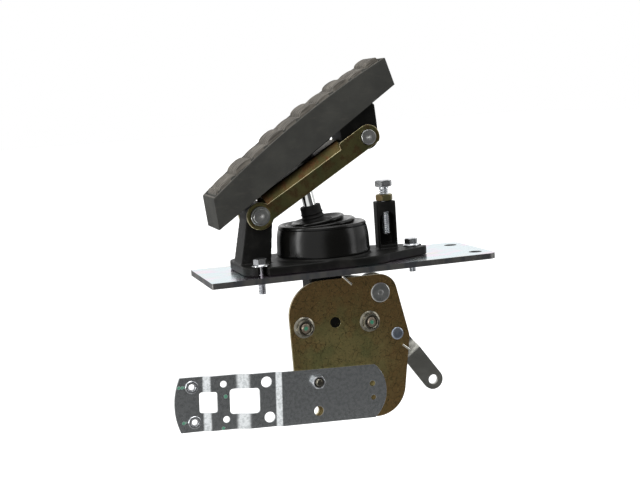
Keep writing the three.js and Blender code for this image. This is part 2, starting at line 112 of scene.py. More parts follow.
def arc(a, b, r, start, stop, steps):
    turns = [start + (stop - start) * i / steps for i in range(steps + 1)]
    return [(a + r * math.cos(t), b + r * math.sin(t)) for t in turns]


def ring(a, b, r, steps=40):
    return arc(a, b, r, 0, 2 * math.pi, steps)[:-1]


def corners(points, steps=7):
    loop = []
    for i, (a, b, r) in enumerate(points):
        here = Vector((a, b))
        back = (Vector(points[i - 1][:2]) - here).normalized()
        on = (Vector(points[(i + 1) % len(points)][:2]) - here).normalized()
        if r == 0:
            loop.append((a, b))
            continue
        half = back.angle(on) / 2
        centre = here + (back + on).normalized() * r / math.sin(half)
        start = here + back * r / math.tan(half) - centre
        stop = here + on * r / math.tan(half) - centre
        turn = math.atan2(start.y, start.x)
        sweep = (math.atan2(stop.y, stop.x) - turn + math.pi) % (2 * math.pi) - math.pi
        loop += arc(centre.x, centre.y, r, turn, turn + sweep, steps)
    return loop


def box_loop(a0, b0, a1, b1, r):
    return corners([(a0, b0, r), (a1, b0, r), (a1, b1, r), (a0, b1, r)])


def belt(circles, step=math.radians(7)):
    leave = []
    for (a, b, r), (c, d, s) in zip(circles, circles[1:] + circles[:1]):
        along = math.atan2(d - b, c - a)
        leave.append(along - math.acos(clamp((r - s) / math.hypot(c - a, d - b), -1, 1)))
    loop = []
    for i, (a, b, r) in enumerate(circles):
        start, stop = leave[i - 1], leave[i]
        while stop < start:
            stop += 2 * math.pi
        loop += arc(a, b, r, start, stop, max(2, round((stop - start) / step)))
    return loop


# %% [markdown]
# A sheet-metal part is an outline filled, extruded to its thickness and bevelled along its rims,
# because a punched edge is never knife sharp and its small round catches the light. The faces of
# the rims may take a second finish. `turned` spins a half profile as a lathe would.

# %% Plates and turned bodies
SHARP = math.radians(50)


def new_verts(made):
    return [v for v in made["geom"] if isinstance(v, bmesh.types.BMVert)]


def plate(outline, holes, low, high, edge=0.35, rows=2, rim=0):
    bm = bmesh.new()
    for loop in [outline, *holes]:
        verts = [bm.verts.new((a, b, low)) for a, b in loop]
        for pair in zip(verts, verts[1:] + verts[:1]):
            bm.edges.new(pair)
    bmesh.ops.remove_doubles(bm, verts=bm.verts[:], dist=0.001)
    bmesh.ops.triangle_fill(bm, use_beauty=True, use_dissolve=False, edges=bm.edges[:])
    made = bmesh.ops.extrude_face_region(bm, geom=bm.faces[:])
    bmesh.ops.translate(bm, vec=(0, 0, high - low), verts=new_verts(made))
    bmesh.ops.recalc_face_normals(bm, faces=bm.faces[:])
    for face in bm.faces:
        face.material_index = rim if abs(face.normal.z) < 0.5 else 0
    if edge > 0:
        sharp = [e for e in bm.edges if len(e.link_faces) == 2 and e.calc_face_angle() > SHARP]
        bmesh.ops.bevel(bm, geom=sharp, offset=edge, offset_type="OFFSET", segments=rows, profile=0.5,
                        affect="EDGES", clamp_overlap=True, material=-1)
    return bm


def turned(profile, steps=44, closed=False):
    bm = bmesh.new()
    verts = [bm.verts.new((r, 0, z)) for r, z in profile]
    pairs = list(zip(verts, verts[1:])) + ([(verts[-1], verts[0])] if closed else [])
    edges = [bm.edges.new(pair) for pair in pairs]
    bmesh.ops.spin(bm, geom=verts + edges, cent=(0, 0, 0), axis=(0, 0, 1), angle=2 * math.pi,
                   steps=steps, use_merge=True)
    bmesh.ops.remove_doubles(bm, verts=bm.verts[:], dist=0.0005)
    bmesh.ops.recalc_face_normals(bm, faces=bm.faces[:])
    return bm


def rod_profile(r, low, high, chamfer=0.5):
    foot = [(0, low), (r - chamfer, low), (r, low + chamfer)]
    return foot + [(r, high - chamfer), (r - chamfer, high), (0, high)]


def round_bar(r, low, high, chamfer=0.5, steps=44):
    return turned(rod_profile(r, low, high, chamfer), steps)


# %% [markdown]
# Shapes drawn flat are then stood up. `across` turns a body drawn in a, b and height so that a is
# X, b is Z and its height runs towards the viewer, along -Y; `crosswise` does the same about a
# pin. `tilt` raises a part that was drawn along X, and `aim` lays a body's own axis along any
# direction, as for the boot's neck, which leans with its rod.

# %% Standing shapes up
def moved(bm, matrix):
    bmesh.ops.transform(bm, matrix=matrix, verts=bm.verts[:])
    return bm


def shift(bm, x, y, z):
    bmesh.ops.translate(bm, vec=(x, y, z), verts=bm.verts[:])
    return bm


def across(bm, x=0, z=0):
    return moved(bm, Matrix.Translation((x, 0, z)) @ Matrix.Rotation(math.pi / 2, 4, "X"))


def crosswise(bm, spot):
    return across(bm, spot.x, spot.z)


def aim(bm, at, direction):
    turn = Vector((0, 0, 1)).rotation_difference(direction).to_matrix().to_4x4()
    return moved(bm, Matrix.Translation(at) @ turn)


def tilt(bm, origin, rise):
    return moved(bm, Matrix.Translation((origin[0], 0, origin[2])) @ Matrix.Rotation(-rise, 4, "Y"))


def side_plate(outline, holes, y0, y1, **bevels):
    return across(plate(outline, holes, -y1, -y0, **bevels))


# %% [markdown]
# Several bodies can share one mesh. Where they only touch, their meshes are put side by side;
# where they grow out of each other, an exact boolean joins them or cuts one from the other, so
# that no face is left inside the solid.

# %% Joining and cutting
def mesh_of(bm, name="part"):
    mesh = bpy.data.meshes.new(name)
    bm.to_mesh(mesh)
    bm.free()
    return mesh


def in_scene(name, data):
    made = bpy.data.objects.new(name, data)
    bpy.context.scene.collection.objects.link(made)
    return made


def settled(made):
    """The mesh of an object as its modifiers leave it. The object itself is used up."""
    result = bmesh.new()
    result.from_mesh(made.evaluated_get(bpy.context.evaluated_depsgraph_get()).to_mesh())
    bpy.data.objects.remove(made)
    return result


def boolean(base, tool, operation):
    target, cutter = in_scene("target", mesh_of(base)), in_scene("cutter", mesh_of(tool))
    step = target.modifiers.new("step", "BOOLEAN")
    step.operation = operation
    step.solver = "EXACT"
    step.object = cutter
    result = settled(target)
    bpy.data.objects.remove(cutter)
    bmesh.ops.remove_doubles(result, verts=result.verts[:], dist=0.0005)
    return result


def joined(*bodies):
    whole = bodies[0]
    for body in bodies[1:]:
        whole = boolean(whole, body, "UNION")
    return whole


def cut(base, *tools):
    for tool in tools:
        base = boolean(base, tool, "DIFFERENCE")
    return base


# The weighted normals keep a large flat face flat right up to its bevel, which a mirror finish
# would give away.

# %% Finishing a piece
made_pieces = []


def piece(name, bm, body, nodes, finishes, smooth=38):
    bmesh.ops.scale(bm, vec=(MM, MM, MM), verts=bm.verts[:])
    mesh = mesh_of(bm, name)
    mesh.shade_smooth()
    mesh.set_sharp_from_angle(angle=math.radians(smooth))
    for finish in finishes:
        mesh.materials.append(finish)
    made = in_scene(name, mesh)
    made.modifiers.new("flat_faces_first", "WEIGHTED_NORMAL").keep_sharp = True
    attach(made, body)
    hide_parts(*nodes)
    made_pieces.append(made)
    print(f"{name}: {len(mesh.polygons)} faces")
    return made


# %% [markdown]
# Finishes are node trees, and their sums are easier to read as Python. `Value` wraps one output
# socket and turns + - * / into Math nodes. `NodeTree` makes any other node from its settings and
# its inputs, and `Finish` is the tree of one material, with its patterns in millimetres.

# %% Shader maths
class Value:
    def __init__(self, nodes, socket):
        self.nodes = nodes
        self.socket = socket

    def math(self, operation, *values):
        return self.nodes.node("Math", {"operation": operation}, dict(enumerate(values)))

    def __add__(self, other):
        return self.math("ADD", self, other)

    def __sub__(self, other):
        return self.math("SUBTRACT", self, other)

    def __mul__(self, other):
        return self.math("MULTIPLY", self, other)

    def __truediv__(self, other):
        return self.math("DIVIDE", self, other)

    def __radd__(self, other):
        return self.math("ADD", other, self)

    def __rsub__(self, other):
        return self.math("SUBTRACT", other, self)

    def __rmul__(self, other):
        return self.math("MULTIPLY", other, self)

    def between(self, low, high, at_low=0.0, at_high=1.0):
        """A smooth step from at_low to at_high as the value goes from low to high."""
        ends = {"Value": self, "From Min": low, "From Max": high, "To Min": at_low, "To Max": at_high}
        return self.nodes.node("MapRange", {"interpolation_type": "SMOOTHSTEP"}, ends)


class NodeTree:
    def __init__(self, tree):
        self.tree = tree

    def node(self, kind, settings=None, inputs=None, output=0):
        made = self.tree.nodes.new("ShaderNode" + kind)
        for key, value in (settings or {}).items():
            setattr(made, key, value)
        for key, value in (inputs or {}).items():
            self.feed(made.inputs[key], value)
        return Value(self, made.outputs[output])

    def feed(self, socket, value):
        if isinstance(value, Value):
            self.tree.links.new(value.socket, socket)
        else:
            socket.default_value = value


class Finish(NodeTree):
    def __init__(self, name, **constants):
        self.material = bpy.data.materials.new(name)
        self.material.use_nodes = True
        super().__init__(self.material.node_tree)
        self.shader = self.tree.nodes["Principled BSDF"]
        for socket, value in constants.items():
            self.shader.inputs[socket.replace("_", " ")].default_value = value

    def place(self, stretch=(1, 1, 1), turn=(0, 0, 0)):
        where = {"Vector": self.node("TexCoord", output="Object"), "Rotation": turn,
                 "Scale": [1 / s for s in stretch]}
        return self.node("Mapping", {"vector_type": "TEXTURE"}, where)

    def noise(self, size, detail=3.0, stretch=(1, 1, 1), roughness=0.55, turn=(0, 0, 0)):
        """Noise with features of about size; a small stretch makes them long on that axis."""
        inputs = {"Vector": self.place(stretch, turn), "Scale": 1 / (size * MM), "Detail": detail,
                  "Roughness": roughness}
        return self.node("TexNoise", {}, inputs)

    def mix(self, share, a, b):
        made = self.tree.nodes.new("ShaderNodeMix")
        made.data_type = "RGBA"
        for index, value in ((0, share), (6, a), (7, b)):
            self.feed(made.inputs[index], value if isinstance(value, Value) or index == 0 else (*value, 1))
        return Value(self, made.outputs[2])

    def distance(self, spot):
        where = {0: self.node("TexCoord", output="Object"), 1: [c * MM for c in spot]}
        return self.node("VectorMath", {"operation": "DISTANCE"}, where, output="Value")

    def bump(self, height, depth, strength=1.0):
        inputs = {"Height": height, "Distance": depth * MM, "Strength": strength}
        return self.node("Bump", {}, inputs)

    def paint(self, **sockets):
        for socket, value in sockets.items():
            self.feed(self.shader.inputs[socket.replace("_", " ")], value)
        return self.material


# %% [markdown]
# ## Finishes
# Bright zinc on steel is a mirror that has been through a tumbling barrel: it reflects clearly,
# with a faint rainbow film, hair scratches along the rolling direction and soft dull clouds. The
# sheared edge of the same plate is duller, with upright drag lines from the punch, and its colour
# is darkened further as painted shade.

# %% Zinc plate
def zinc_plate():
    f = Finish("bright_zinc_plate", Metallic=1.0)
    clouds = f.noise(28, 3)
    film = f.noise(45, 2, stretch=(1, 1.6, 1), turn=(0, 0, 0.4))
    scratches = f.noise(0.9, 4, stretch=(0.03, 1, 1))
    cool = f.mix(film.between(0.42, 0.56), (0.86, 0.74, 0.86), (0.70, 0.83, 0.87))
    colour = f.mix(clouds.between(0.5, 0.72), cool, (0.84, 0.79, 0.74))
    rough = 0.13 + 0.12 * clouds + 0.1 * scratches.between(0.45, 0.8)
    return f.paint(Base_Color=colour, Roughness=rough, Normal=f.bump(scratches, 0.012))


# The sheared edge: duller steel whose colour is darkened further as painted shade.
def zinc_edge():
    f = Finish("sheared_zinc_edge_painted_shade", Metallic=1.0)
    drag = f.noise(1.6, 4, stretch=(1, 1, 0.06))
    burr = f.noise(11, 2, stretch=(1, 1, 0.3))
    colour = f.mix(burr.between(0.4, 0.65), (0.24, 0.235, 0.225), (0.15, 0.155, 0.17))
    rough = 0.28 + 0.2 * drag
    return f.paint(Base_Color=colour, Roughness=rough, Normal=f.bump(drag, 0.06))


def zinc_bolt(name, bright, dim):
    f = Finish(name, Metallic=1.0)
    dull = f.noise(3, 3)
    colour = f.mix(dull.between(0.4, 0.65), bright, dim)
    return f.paint(Base_Color=colour, Roughness=0.16 + 0.16 * dull, Normal=f.bump(f.noise(0.7, 2), 0.01))


# %% [markdown]
# Yellow passivated zinc is never one colour. The film runs from straw through olive to a reddish
# brown as its thickness changes, and it dries with a fine dark crackle. Wide and middling noises
# choose the tint, the edges of wandering cells draw the crackle, and small noises add the pits and
# the pale grain. The side plate also stayed pale round its heart, where the bath was weakest.

# %% Yellow passivated zinc
def yellow_zinc(name, straw, olive, brown, crackle=0.75, speck=1.1, heart=None):
    """heart is the place, in millimetres, that the plating bath left pale, and how far round it."""
    f = Finish(name, Metallic=1.0)
    drift = f.noise(34, 2)
    patches = f.noise(9, 4, roughness=0.62)
    grain = f.noise(speck, 3, roughness=0.7)
    pits = f.noise(speck * 1.9, 4, roughness=0.8)
    wander = {0: f.noise(3, 3), 1: (4 * MM,) * 3, 2: f.place()}
    cells = {"Vector": f.node("VectorMath", {"operation": "MULTIPLY_ADD"}, wander), "Scale": 1 / (5.5 * MM)}
    cracks = 1 - f.node("TexVoronoi", {"feature": "DISTANCE_TO_EDGE"}, cells).between(0.0, 0.06)
    colour = f.mix(drift.between(0.4, 0.6), olive, straw)
    if heart:
        spot, near, far = heart
        away = f.distance(spot) + patches * (far * MM)
        share = away.between((near + far * 0.5) * MM, (far * 1.5) * MM)
    else:
        share = patches.between(0.44, 0.66)
    colour = f.mix(share, colour, brown)
    dark = tuple(c * 0.22 for c in olive)
    colour = f.mix(patches.between(0.5, 0.75) * 0.4, colour, brown)
    colour = f.mix(cracks * patches.between(0.35, 0.6) * crackle, colour, dark)
    colour = f.mix(pits.between(0.5, 0.72) * crackle, colour, dark)
    colour = f.mix(grain.between(0.55, 0.75) * 0.5, colour, tuple(min(1, c * 1.7) for c in straw))
    rough = 0.27 + 0.1 * patches + 0.08 * grain
    return f.paint(Base_Color=colour, Roughness=rough, Normal=f.bump(grain + pits, 0.008))


# %% [markdown]
# The grey parts are plain rolled or turned steel under clear zinc. The bracket is bluer, with long
# cloudy streaks from rolling. Turned pins show the rings of the lathe tool on their ends, which
# are made in the mesh, so their finish only needs fine grain.

# %% Grey steels
def rolled_steel(name, light, dark, stretch=(0.35, 1, 1), rough=0.24):
    f = Finish(name, Metallic=1.0)
    streaks = f.noise(7, 4, stretch=stretch, roughness=0.6)
    clouds = f.noise(22, 2)
    fine = f.noise(0.6, 3)
    colour = f.mix(streaks.between(0.36, 0.66), dark, light)
    colour = f.mix(clouds.between(0.45, 0.7) * 0.5, colour, dark)
    colour = f.mix(fine.between(0.6, 0.85) * 0.4, colour, tuple(c * 0.5 for c in dark))
    return f.paint(Base_Color=colour, Roughness=rough + 0.08 * clouds + 0.06 * fine,
                   Normal=f.bump(fine + streaks, 0.006))


# %% [markdown]
# The casting is shot blasted and sprayed satin black. Its fine orange peel breaks up reflections,
# and dust lies on it in soft clouds. The boot is moulded rubber with a skin as smooth as its
# mould, so it is far glossier, with only faint flow waves. The tread's ribs are rubbed lengthwise
# by shoes, so their streaks are turned to the slope of the tread.

# %% Paint and rubber
PAD_RISE = math.radians(34.33)


def satin_paint():
    f = Finish("satin_black_paint", Specular_IOR_Level=0.08)
    peel = f.noise(0.9, 2)
    sand = f.noise(4.5, 4, roughness=0.65)
    dust = f.noise(14, 4)
    colour = f.mix(dust.between(0.45, 0.8), (0.007, 0.007, 0.0065), (0.016, 0.0155, 0.014))
    return f.paint(Base_Color=colour, Roughness=0.3 + 0.22 * dust, Normal=f.bump(peel + 1.6 * sand, 0.09))


def boot_rubber(name, level, matt=0.0):
    f = Finish(name, Specular_IOR_Level=level)
    flow = f.noise(9, 2, stretch=(1, 1, 0.5))
    dust = f.noise(1.3, 4, roughness=0.7)
    colour = f.mix(dust.between(0.62, 0.8), (0.0035, 0.0034, 0.003), (0.016, 0.016, 0.014))
    return f.paint(Base_Color=colour, Roughness=0.13 + matt + 0.16 * flow, Normal=f.bump(flow, 0.12))


def tread_rubber():
    f = Finish("matt_tread_rubber", Specular_IOR_Level=0.25)
    bloom = f.noise(26, 4)
    scuff = f.noise(5, 5, stretch=(0.4, 1, 1), roughness=0.7)
    grain = f.noise(0.5, 3)
    specks = f.noise(2.2, 2)
    colour = f.mix(bloom.between(0.35, 0.7), (0.030, 0.030, 0.027), (0.042, 0.042, 0.037))
    colour = f.mix(scuff.between(0.5, 0.8) * 0.5, colour, (0.06, 0.056, 0.047))
    colour = f.mix(specks.between(0.7, 0.76) * 0.6, colour, (0.03, 0.03, 0.03))
    return f.paint(Base_Color=colour, Roughness=0.62 + 0.25 * grain, Normal=f.bump(grain + scuff, 0.05))


def worn_rubber():
    f = Finish("worn_tread_ribs", Specular_IOR_Level=0.3)
    rub = f.noise(1.1, 4, stretch=(0.05, 1, 1), turn=(0, -PAD_RISE, 0))
    patch = f.noise(12, 3)
    colour = f.mix(patch.between(0.4, 0.7), (0.085, 0.076, 0.063), (0.125, 0.113, 0.094))
    colour = f.mix(rub.between(0.42, 0.62) * 0.85, colour, (0.036, 0.032, 0.027))
    return f.paint(Base_Color=colour, Roughness=0.5 + 0.25 * rub, Normal=f.bump(rub, 0.14))


# %% [markdown]
# The rod is ground and hard plated, nearly a mirror, with rings so fine that only its sharpness
# shows them. The spring is drawn wire. Green inspection paint was dabbed on the nuts and the
# bracket; it is drawn as small soft spots round stated points, broken up by noise.

# %% Plated rod, wire and inspection paint
def plated_rod():
    f = Finish("hard_plated_rod", Metallic=1.0)
    rings = f.noise(0.5, 2, stretch=(0.1, 0.1, 1))
    return f.paint(Base_Color=f.mix(rings, (0.66, 0.67, 0.66), (0.78, 0.79, 0.78)), Roughness=0.07 + 0.1 * rings,
                   Normal=f.bump(rings, 0.004))


def with_spots(name, base, dull, spots, colour, rough=0.26):
    f = Finish(name)
    ragged = f.noise(0.9, 3)
    grain = f.noise(2.6, 3)
    metal = f.mix(grain.between(0.4, 0.66), base, dull)
    mask = 0.0
    for spot, reach in spots:
        near = 1 - (f.distance(spot) / (reach * MM) + ragged * 0.7).between(1.05, 1.35)
        mask = near if mask == 0.0 else mask.math("MAXIMUM", mask, near)
    return f.paint(Base_Color=f.mix(mask, metal, colour), Metallic=1 - mask,
                   Roughness=rough + 0.3 * mask + 0.1 * grain)


# %% All the finishes
ZINC, EDGE = zinc_plate(), zinc_edge()
BOLT = zinc_bolt("bright_zinc_fastener", (0.74, 0.76, 0.78), (0.55, 0.56, 0.58))
OLD_BOLT = zinc_bolt("tarnished_zinc_fastener", (0.24, 0.225, 0.185), (0.15, 0.14, 0.11))
SIDE_GOLD = yellow_zinc("yellow_zinc_side_plate", (0.47, 0.39, 0.165), (0.34, 0.325, 0.135), (0.36, 0.23, 0.095),
                        heart=((5, -20, -75), 16, 60))
LINK_GOLD = yellow_zinc("yellow_zinc_lever", (0.20, 0.18, 0.075), (0.14, 0.145, 0.06), (0.15, 0.10, 0.045),
                        crackle=0.25, speck=0.7)
# Light plating for the upright rims of the side plate and the lever's cheeks: a painted highlight on their
# rounded edges.
RIM_HIGHLIGHT_GOLD = yellow_zinc("yellow_zinc_rim_painted_highlight", (0.7, 0.62, 0.4), (0.5, 0.46, 0.3), (0.5, 0.4, 0.24),
                       crackle=0.2, speck=0.6)
# The lever's roof is the same plating as its cheeks, painted darker and browner: painted shade under the tread.
ROOF_SHADE_GOLD = yellow_zinc("yellow_zinc_roof_painted_shade", (0.11, 0.085, 0.035), (0.07, 0.06, 0.024),
                         (0.10, 0.05, 0.022), crackle=0.3, speck=0.7)
NUT_GOLD = yellow_zinc("yellow_zinc_nut", (0.34, 0.29, 0.15), (0.24, 0.22, 0.11), (0.28, 0.2, 0.1),
                       crackle=0.2, speck=0.6)
GREY = rolled_steel("grey_zinc_steel", (0.48, 0.48, 0.44), (0.36, 0.36, 0.33))
PIN = rolled_steel("turned_pin_steel", (0.62, 0.62, 0.60), (0.45, 0.46, 0.45), (1, 1, 1), 0.22)
BLUE = rolled_steel("blue_zinc_bracket", (0.80, 0.83, 0.84), (0.62, 0.65, 0.66), (0.5, 1, 0.8), 0.18)
PAINT, TREAD, RIBS, ROD = satin_paint(), tread_rubber(), worn_rubber(), plated_rod()
BOOT_SKIN, NECK_SKIN = boot_rubber("glossy_boot_rubber", 0.24), boot_rubber("matt_neck_rubber", 0.2, 0.4)
WIRE = rolled_steel("drawn_spring_wire", (0.78, 0.77, 0.70), (0.58, 0.57, 0.52), (1, 1, 1), 0.18)
print("Finishes:", len(bpy.data.materials))


# %% [markdown]
# ## The floor plate and the casting
# The plate is sheared strip. Its outline has two nearly square corners at the tread's heel and two
# round ones at the screw holes. Its upright edges take the duller sheared finish, darkened further
# as painted shade, and the bevels keep the bright one, so a thin bright line runs along the top of
# the edge.

# %% Floor plate
low, high = span("base_plate")
NECK, NECK_GAP = (-16, -13, 20, 13), 1.5
bolt_names = ("flange_bolt_left_front", "flange_bolt_left_rear", "flange_bolt_right")
bolt_spots = [middle(n) for n in bolt_names]
outline = corners([(low.x, low.y, 1.2), (high.x, low.y, 8), (high.x, high.y, 8), (low.x, high.y, 1.2)])
holes = [ring(126, s * 27, 5.5) for s in (-1, 1)] + [ring(p.x, p.y, 3.4, 24) for p in bolt_spots]
holes.append(box_loop(NECK[0] - NECK_GAP, NECK[1] - NECK_GAP, NECK[2] + NECK_GAP, NECK[3] + NECK_GAP, 2))
strip = plate(outline, holes, low.z, high.z, edge=0.45)
# Upright faces take the edge finish, duller steel darkened as painted shade.
for face in strip.faces:
    face.material_index = 1 if abs(face.normal.z) < 0.2 else 0
piece("floor_plate", strip, "frame", ["base_plate"], [ZINC, EDGE], smooth=30)


# %% [markdown]
# The casting is one body: a thin flange, the tower that holds the hinge pin, a low boss under the
# boot, the post of the stop screw and the neck that passes through the floor. Sharp bodies are
# drawn first and cut, then a voxel remesh and a few smoothing passes melt them together, which
# rounds every corner and leaves the soft fillets of sand casting.

# %% Casting bodies
FLANGE_LOW, FLANGE_TOP = 5.0, 12.0
post = middle("stop_screw")
half = math.pi / 2


def open_slot(p):
    out = (20, 0) if abs(p.y) < 1 else (0, math.copysign(20, p.y))
    return plate(belt([(p.x, p.y, 3.6), (p.x + out[0], p.y + out[1], 3.6)]), [], 0, 20, edge=0)


flange_loop = (arc(-56, -22, 18, -2 * half, -half, 12) + arc(27, -10, 30, -half, -half / 2, 10)
               + arc(80, -5, 10, -half * 0.67, 0, 8) + arc(80, 5, 10, 0, half * 0.67, 8)
               + arc(27, 10, 30, half / 2, half, 10) + arc(-56, 22, 18, half, 2 * half, 12))
flange = cut(plate(flange_loop, [], FLANGE_LOW, FLANGE_TOP, edge=0.8), *map(open_slot, bolt_spots))
tower_loop = [(-73, 11), (-47.8, 11)] + arc(HINGE.x, HINGE.z, 10.8, -0.15, math.pi + 0.15, 30)
tower = side_plate(tower_loop, [], -13.7, 13.7, edge=1.0)
pad_rows = [(0, 11), (39.6, 11), (39.6, 12.6), (38.4, 14.3), (0, 14.3)]
BOOT_X = 1.0
boss = shift(turned(pad_rows, 72), BOOT_X, 0, 0)
post_low, post_high, post_top = post.x - 8.5, post.x + 8.5, 52.3
window = [(post_low + 1.7, 15.5), (post_high - 1.7, 15.5), (post_high - 1.7, 36.9)]
window += arc(post.x + 0.3, 36.9, 6.5, 0, math.pi, 16) + [(post_low + 1.7, 36.9)]
column = plate(box_loop(post_low, -5.5, post_high, 6.5, 2.2), [], 11, post_top, edge=0.9)
column = cut(column, side_plate(window, [], -9, 4.8, edge=0), shift(round_bar(4.3, 30, 60), post.x, 0, 0))
neck = plate(box_loop(*NECK, 2), [], -17, 12, edge=0.8)
front_web = belt([(*LEFT_BOLT, 8), (*RIGHT_BOLT, 8), (18, -17, 2), (-14, -17, 2)])
rear_web = belt([(2, -44, 6), (*RIGHT_BOLT, 8), (18, -17, 2), (-6, -17, 2)])
webs = [side_plate(front_web, [], -17.2, -9.5, edge=0.8), side_plate(rear_web, [], 9.5, 14.7, edge=0.8)]
whole = joined(flange, tower, boss, column, neck, *webs)
bores = [across(shift(round_bar(r, -25, 25), x, z, 0))
         for x, z, r in ((HINGE.x, HINGE.z, 6.5), (*LEFT_BOLT, 4.3), (*RIGHT_BOLT, 4.3))]
whole = cut(whole, plate(box_loop(-8, -8, 17.5, 8, 3), [], -30, 20, edge=0), *bores)
print("Casting before remeshing:", len(whole.faces), "faces")


# %% [markdown]
# Three modifiers do the melting. Remesh rebuilds the whole skin on an even grid, Smooth rounds
# what was sharp, and Decimate takes away the faces that a flat place doesn't need.

# %% Melting the casting together
def melted(bm, voxel, passes, keep):
    cast = in_scene("cast", mesh_of(bm))
    remesh = cast.modifiers.new("voxels", "REMESH")
    remesh.mode = "VOXEL"
    remesh.voxel_size = voxel
    soft = cast.modifiers.new("soft", "SMOOTH")
    soft.factor = 0.5
    soft.iterations = passes
    fewer = cast.modifiers.new("fewer", "DECIMATE")
    fewer.ratio = keep
    return settled(cast)


cast_skin = melted(whole, voxel=0.8, passes=3, keep=0.3)
piece("cast_base", cast_skin, "frame", ["base_casting"], [PAINT], smooth=60)


# %% [markdown]
# ## Fasteners
# A screw thread is one ridge wound round a core. A profile of one pitch is spun with a step along
# its axis, so each turn ends where the next begins; merging doubles closes the winding, and two
# planes cut it to length. A hexagon's top is a cone cut by six flats, so its corners sit lower
# than the middle of its sides. It is drawn as a stack of rings with the same number of points, so
# a flange nut goes from its round skirt to its six flats in one skin.

# %% Threads and hexagons
def thread(r, pitch, low, high, steps=20):
    core = r - 0.61 * pitch
    bm = bmesh.new()
    rows = [(core, 0), (r, 0.42 * pitch), (r, 0.58 * pitch), (core, pitch)]
    verts = [bm.verts.new((x, 0, low - pitch + z)) for x, z in rows]
    edges = [bm.edges.new(pair) for pair in zip(verts, verts[1:])]
    turns = math.ceil((high - low) / pitch) + 2
    bmesh.ops.spin(bm, geom=verts + edges, cent=(0, 0, 0), axis=(0, 0, 1), dvec=(0, 0, pitch / steps),
                   angle=2 * math.pi * turns, steps=steps * turns, use_merge=False)
    bmesh.ops.remove_doubles(bm, verts=bm.verts[:], dist=0.002)
    for z, side in ((low, -1), (high, 1)):
        geom = bm.verts[:] + bm.edges[:] + bm.faces[:]
        bmesh.ops.bisect_plane(bm, geom=geom, dist=0.0001, plane_co=(0, 0, z), plane_no=(0, 0, side),
                               clear_outer=True)
        rim = [e for e in bm.edges if e.is_boundary and all(abs(v.co.z - z) < 0.001 for v in e.verts)]
        bmesh.ops.holes_fill(bm, edges=rim, sides=0)
    bmesh.ops.recalc_face_normals(bm, faces=bm.faces[:])
    return bm


def hexagon(flats, steps=8):
    outer = flats / math.sqrt(3)
    tips = [Vector((outer * math.cos(i * math.pi / 3), outer * math.sin(i * math.pi / 3))) for i in range(6)]
    return [tips[i].lerp(tips[(i + 1) % 6], s / steps) for i in range(6) for s in range(steps)]


def stacked(rings, closed):
    bm = bmesh.new()
    rows = [[bm.verts.new(p) for p in points] for points in rings]
    pairs = list(zip(rows, rows[1:])) + ([(rows[-1], rows[0])] if closed else [])
    for one, two in pairs:
        for i in range(len(one)):
            bm.faces.new((one[i - 1], one[i], two[i], two[i - 1]))
    if not closed:
        bm.faces.new(rows[0])
        bm.faces.new(rows[-1])
    bmesh.ops.recalc_face_normals(bm, faces=bm.faces[:])
    return bm


def hex_body(flats, low, high, bore=0.0, both=True, slope=0.55, flange=0.0):
    """A hexagon with rounded-off tips. With a flange it stands on a round skirt of that radius."""
    rim = hexagon(flats)
    flat = 0.47 * flats

    def level(z, sign):
        return [(p.x, p.y, z - sign * slope * max(0.0, p.length - flat)) for p in rim]

    def circle(r, z):
        return [(p.x * r / p.length, p.y * r / p.length, z) for p in rim]

    if flange:
        shoulder = flats / math.sqrt(3) + 0.15
        lower = [circle(flange - 0.3, low), circle(flange, low + 0.3), circle(flange - 0.1, low + 0.7),
                 circle(shoulder, low + 1.5), [(p.x, p.y, low + 1.7) for p in rim]]
    else:
        lower = [circle(flat, low), level(low, -1)] if both else [[(p.x, p.y, low) for p in rim]]
    rings = [*lower, level(high, 1), circle(flat, high)]
    if bore:
        rings = [circle(bore, low + 0.5), circle(bore + 0.5, low), *rings, circle(bore + 0.9, high),
                 circle(bore, high - 0.9)]
    return stacked(rings, bool(bore))


# %% [markdown]
# Three flange screws hold the casting down. Each head is a hexagon on its own flange, and the
# thread shows again below the floor plate. The stop screw is the same idea, larger, and it is
# seen through the window of its post.

# %% Flange screws and stop screw
seat = FLANGE_TOP + 0.3
for node, p in zip(bolt_names, bolt_spots):
    low, high = span(node)
    head = hex_body(10, seat, high.z, flange=7.1)
    shank = joined(round_bar(3, seat - 9, seat + 0.5), thread(2.98, 1.0, low.z, seat - 8.5))
    screw = shift(joined(head, shank), p.x, p.y, 0)
    piece(node.replace("bolt", "screw"), screw, "frame", [node], [BOLT])

low, high = span("stop_screw")
head = hex_body(13, 64.4, high.z)
point = turned([(0, low.z), (2.6, low.z), (3.3, low.z + 1.4), (0, low.z + 1.4)])
stem = joined(thread(3.98, 1.7, low.z + 1, 63.2), point)
neck_ring = turned([(0, 62.8), (4, 62.8), (4, 64.2), (4.8, 64.6), (0, 64.6)])
screw = shift(joined(head, neck_ring, stem), post.x, 0, 0)
piece("adjusting_screw", screw, "stop", ["stop_screw"], [BOLT])
low, high = span("jam_nut")
nut = shift(hex_body(13, low.z, high.z, bore=4.3), post.x, 0, 0)
piece("lock_nut", nut, "frame", ["jam_nut"], [NUT_GOLD])


# %% [markdown]
# The side plate's two flange nuts sit on long bolts whose ends stand a little proud, with a dab
# of green paint across each end. The bolt end is chamfered and its thread is real. No two nuts
# stop at the same angle, so each has its own turn.

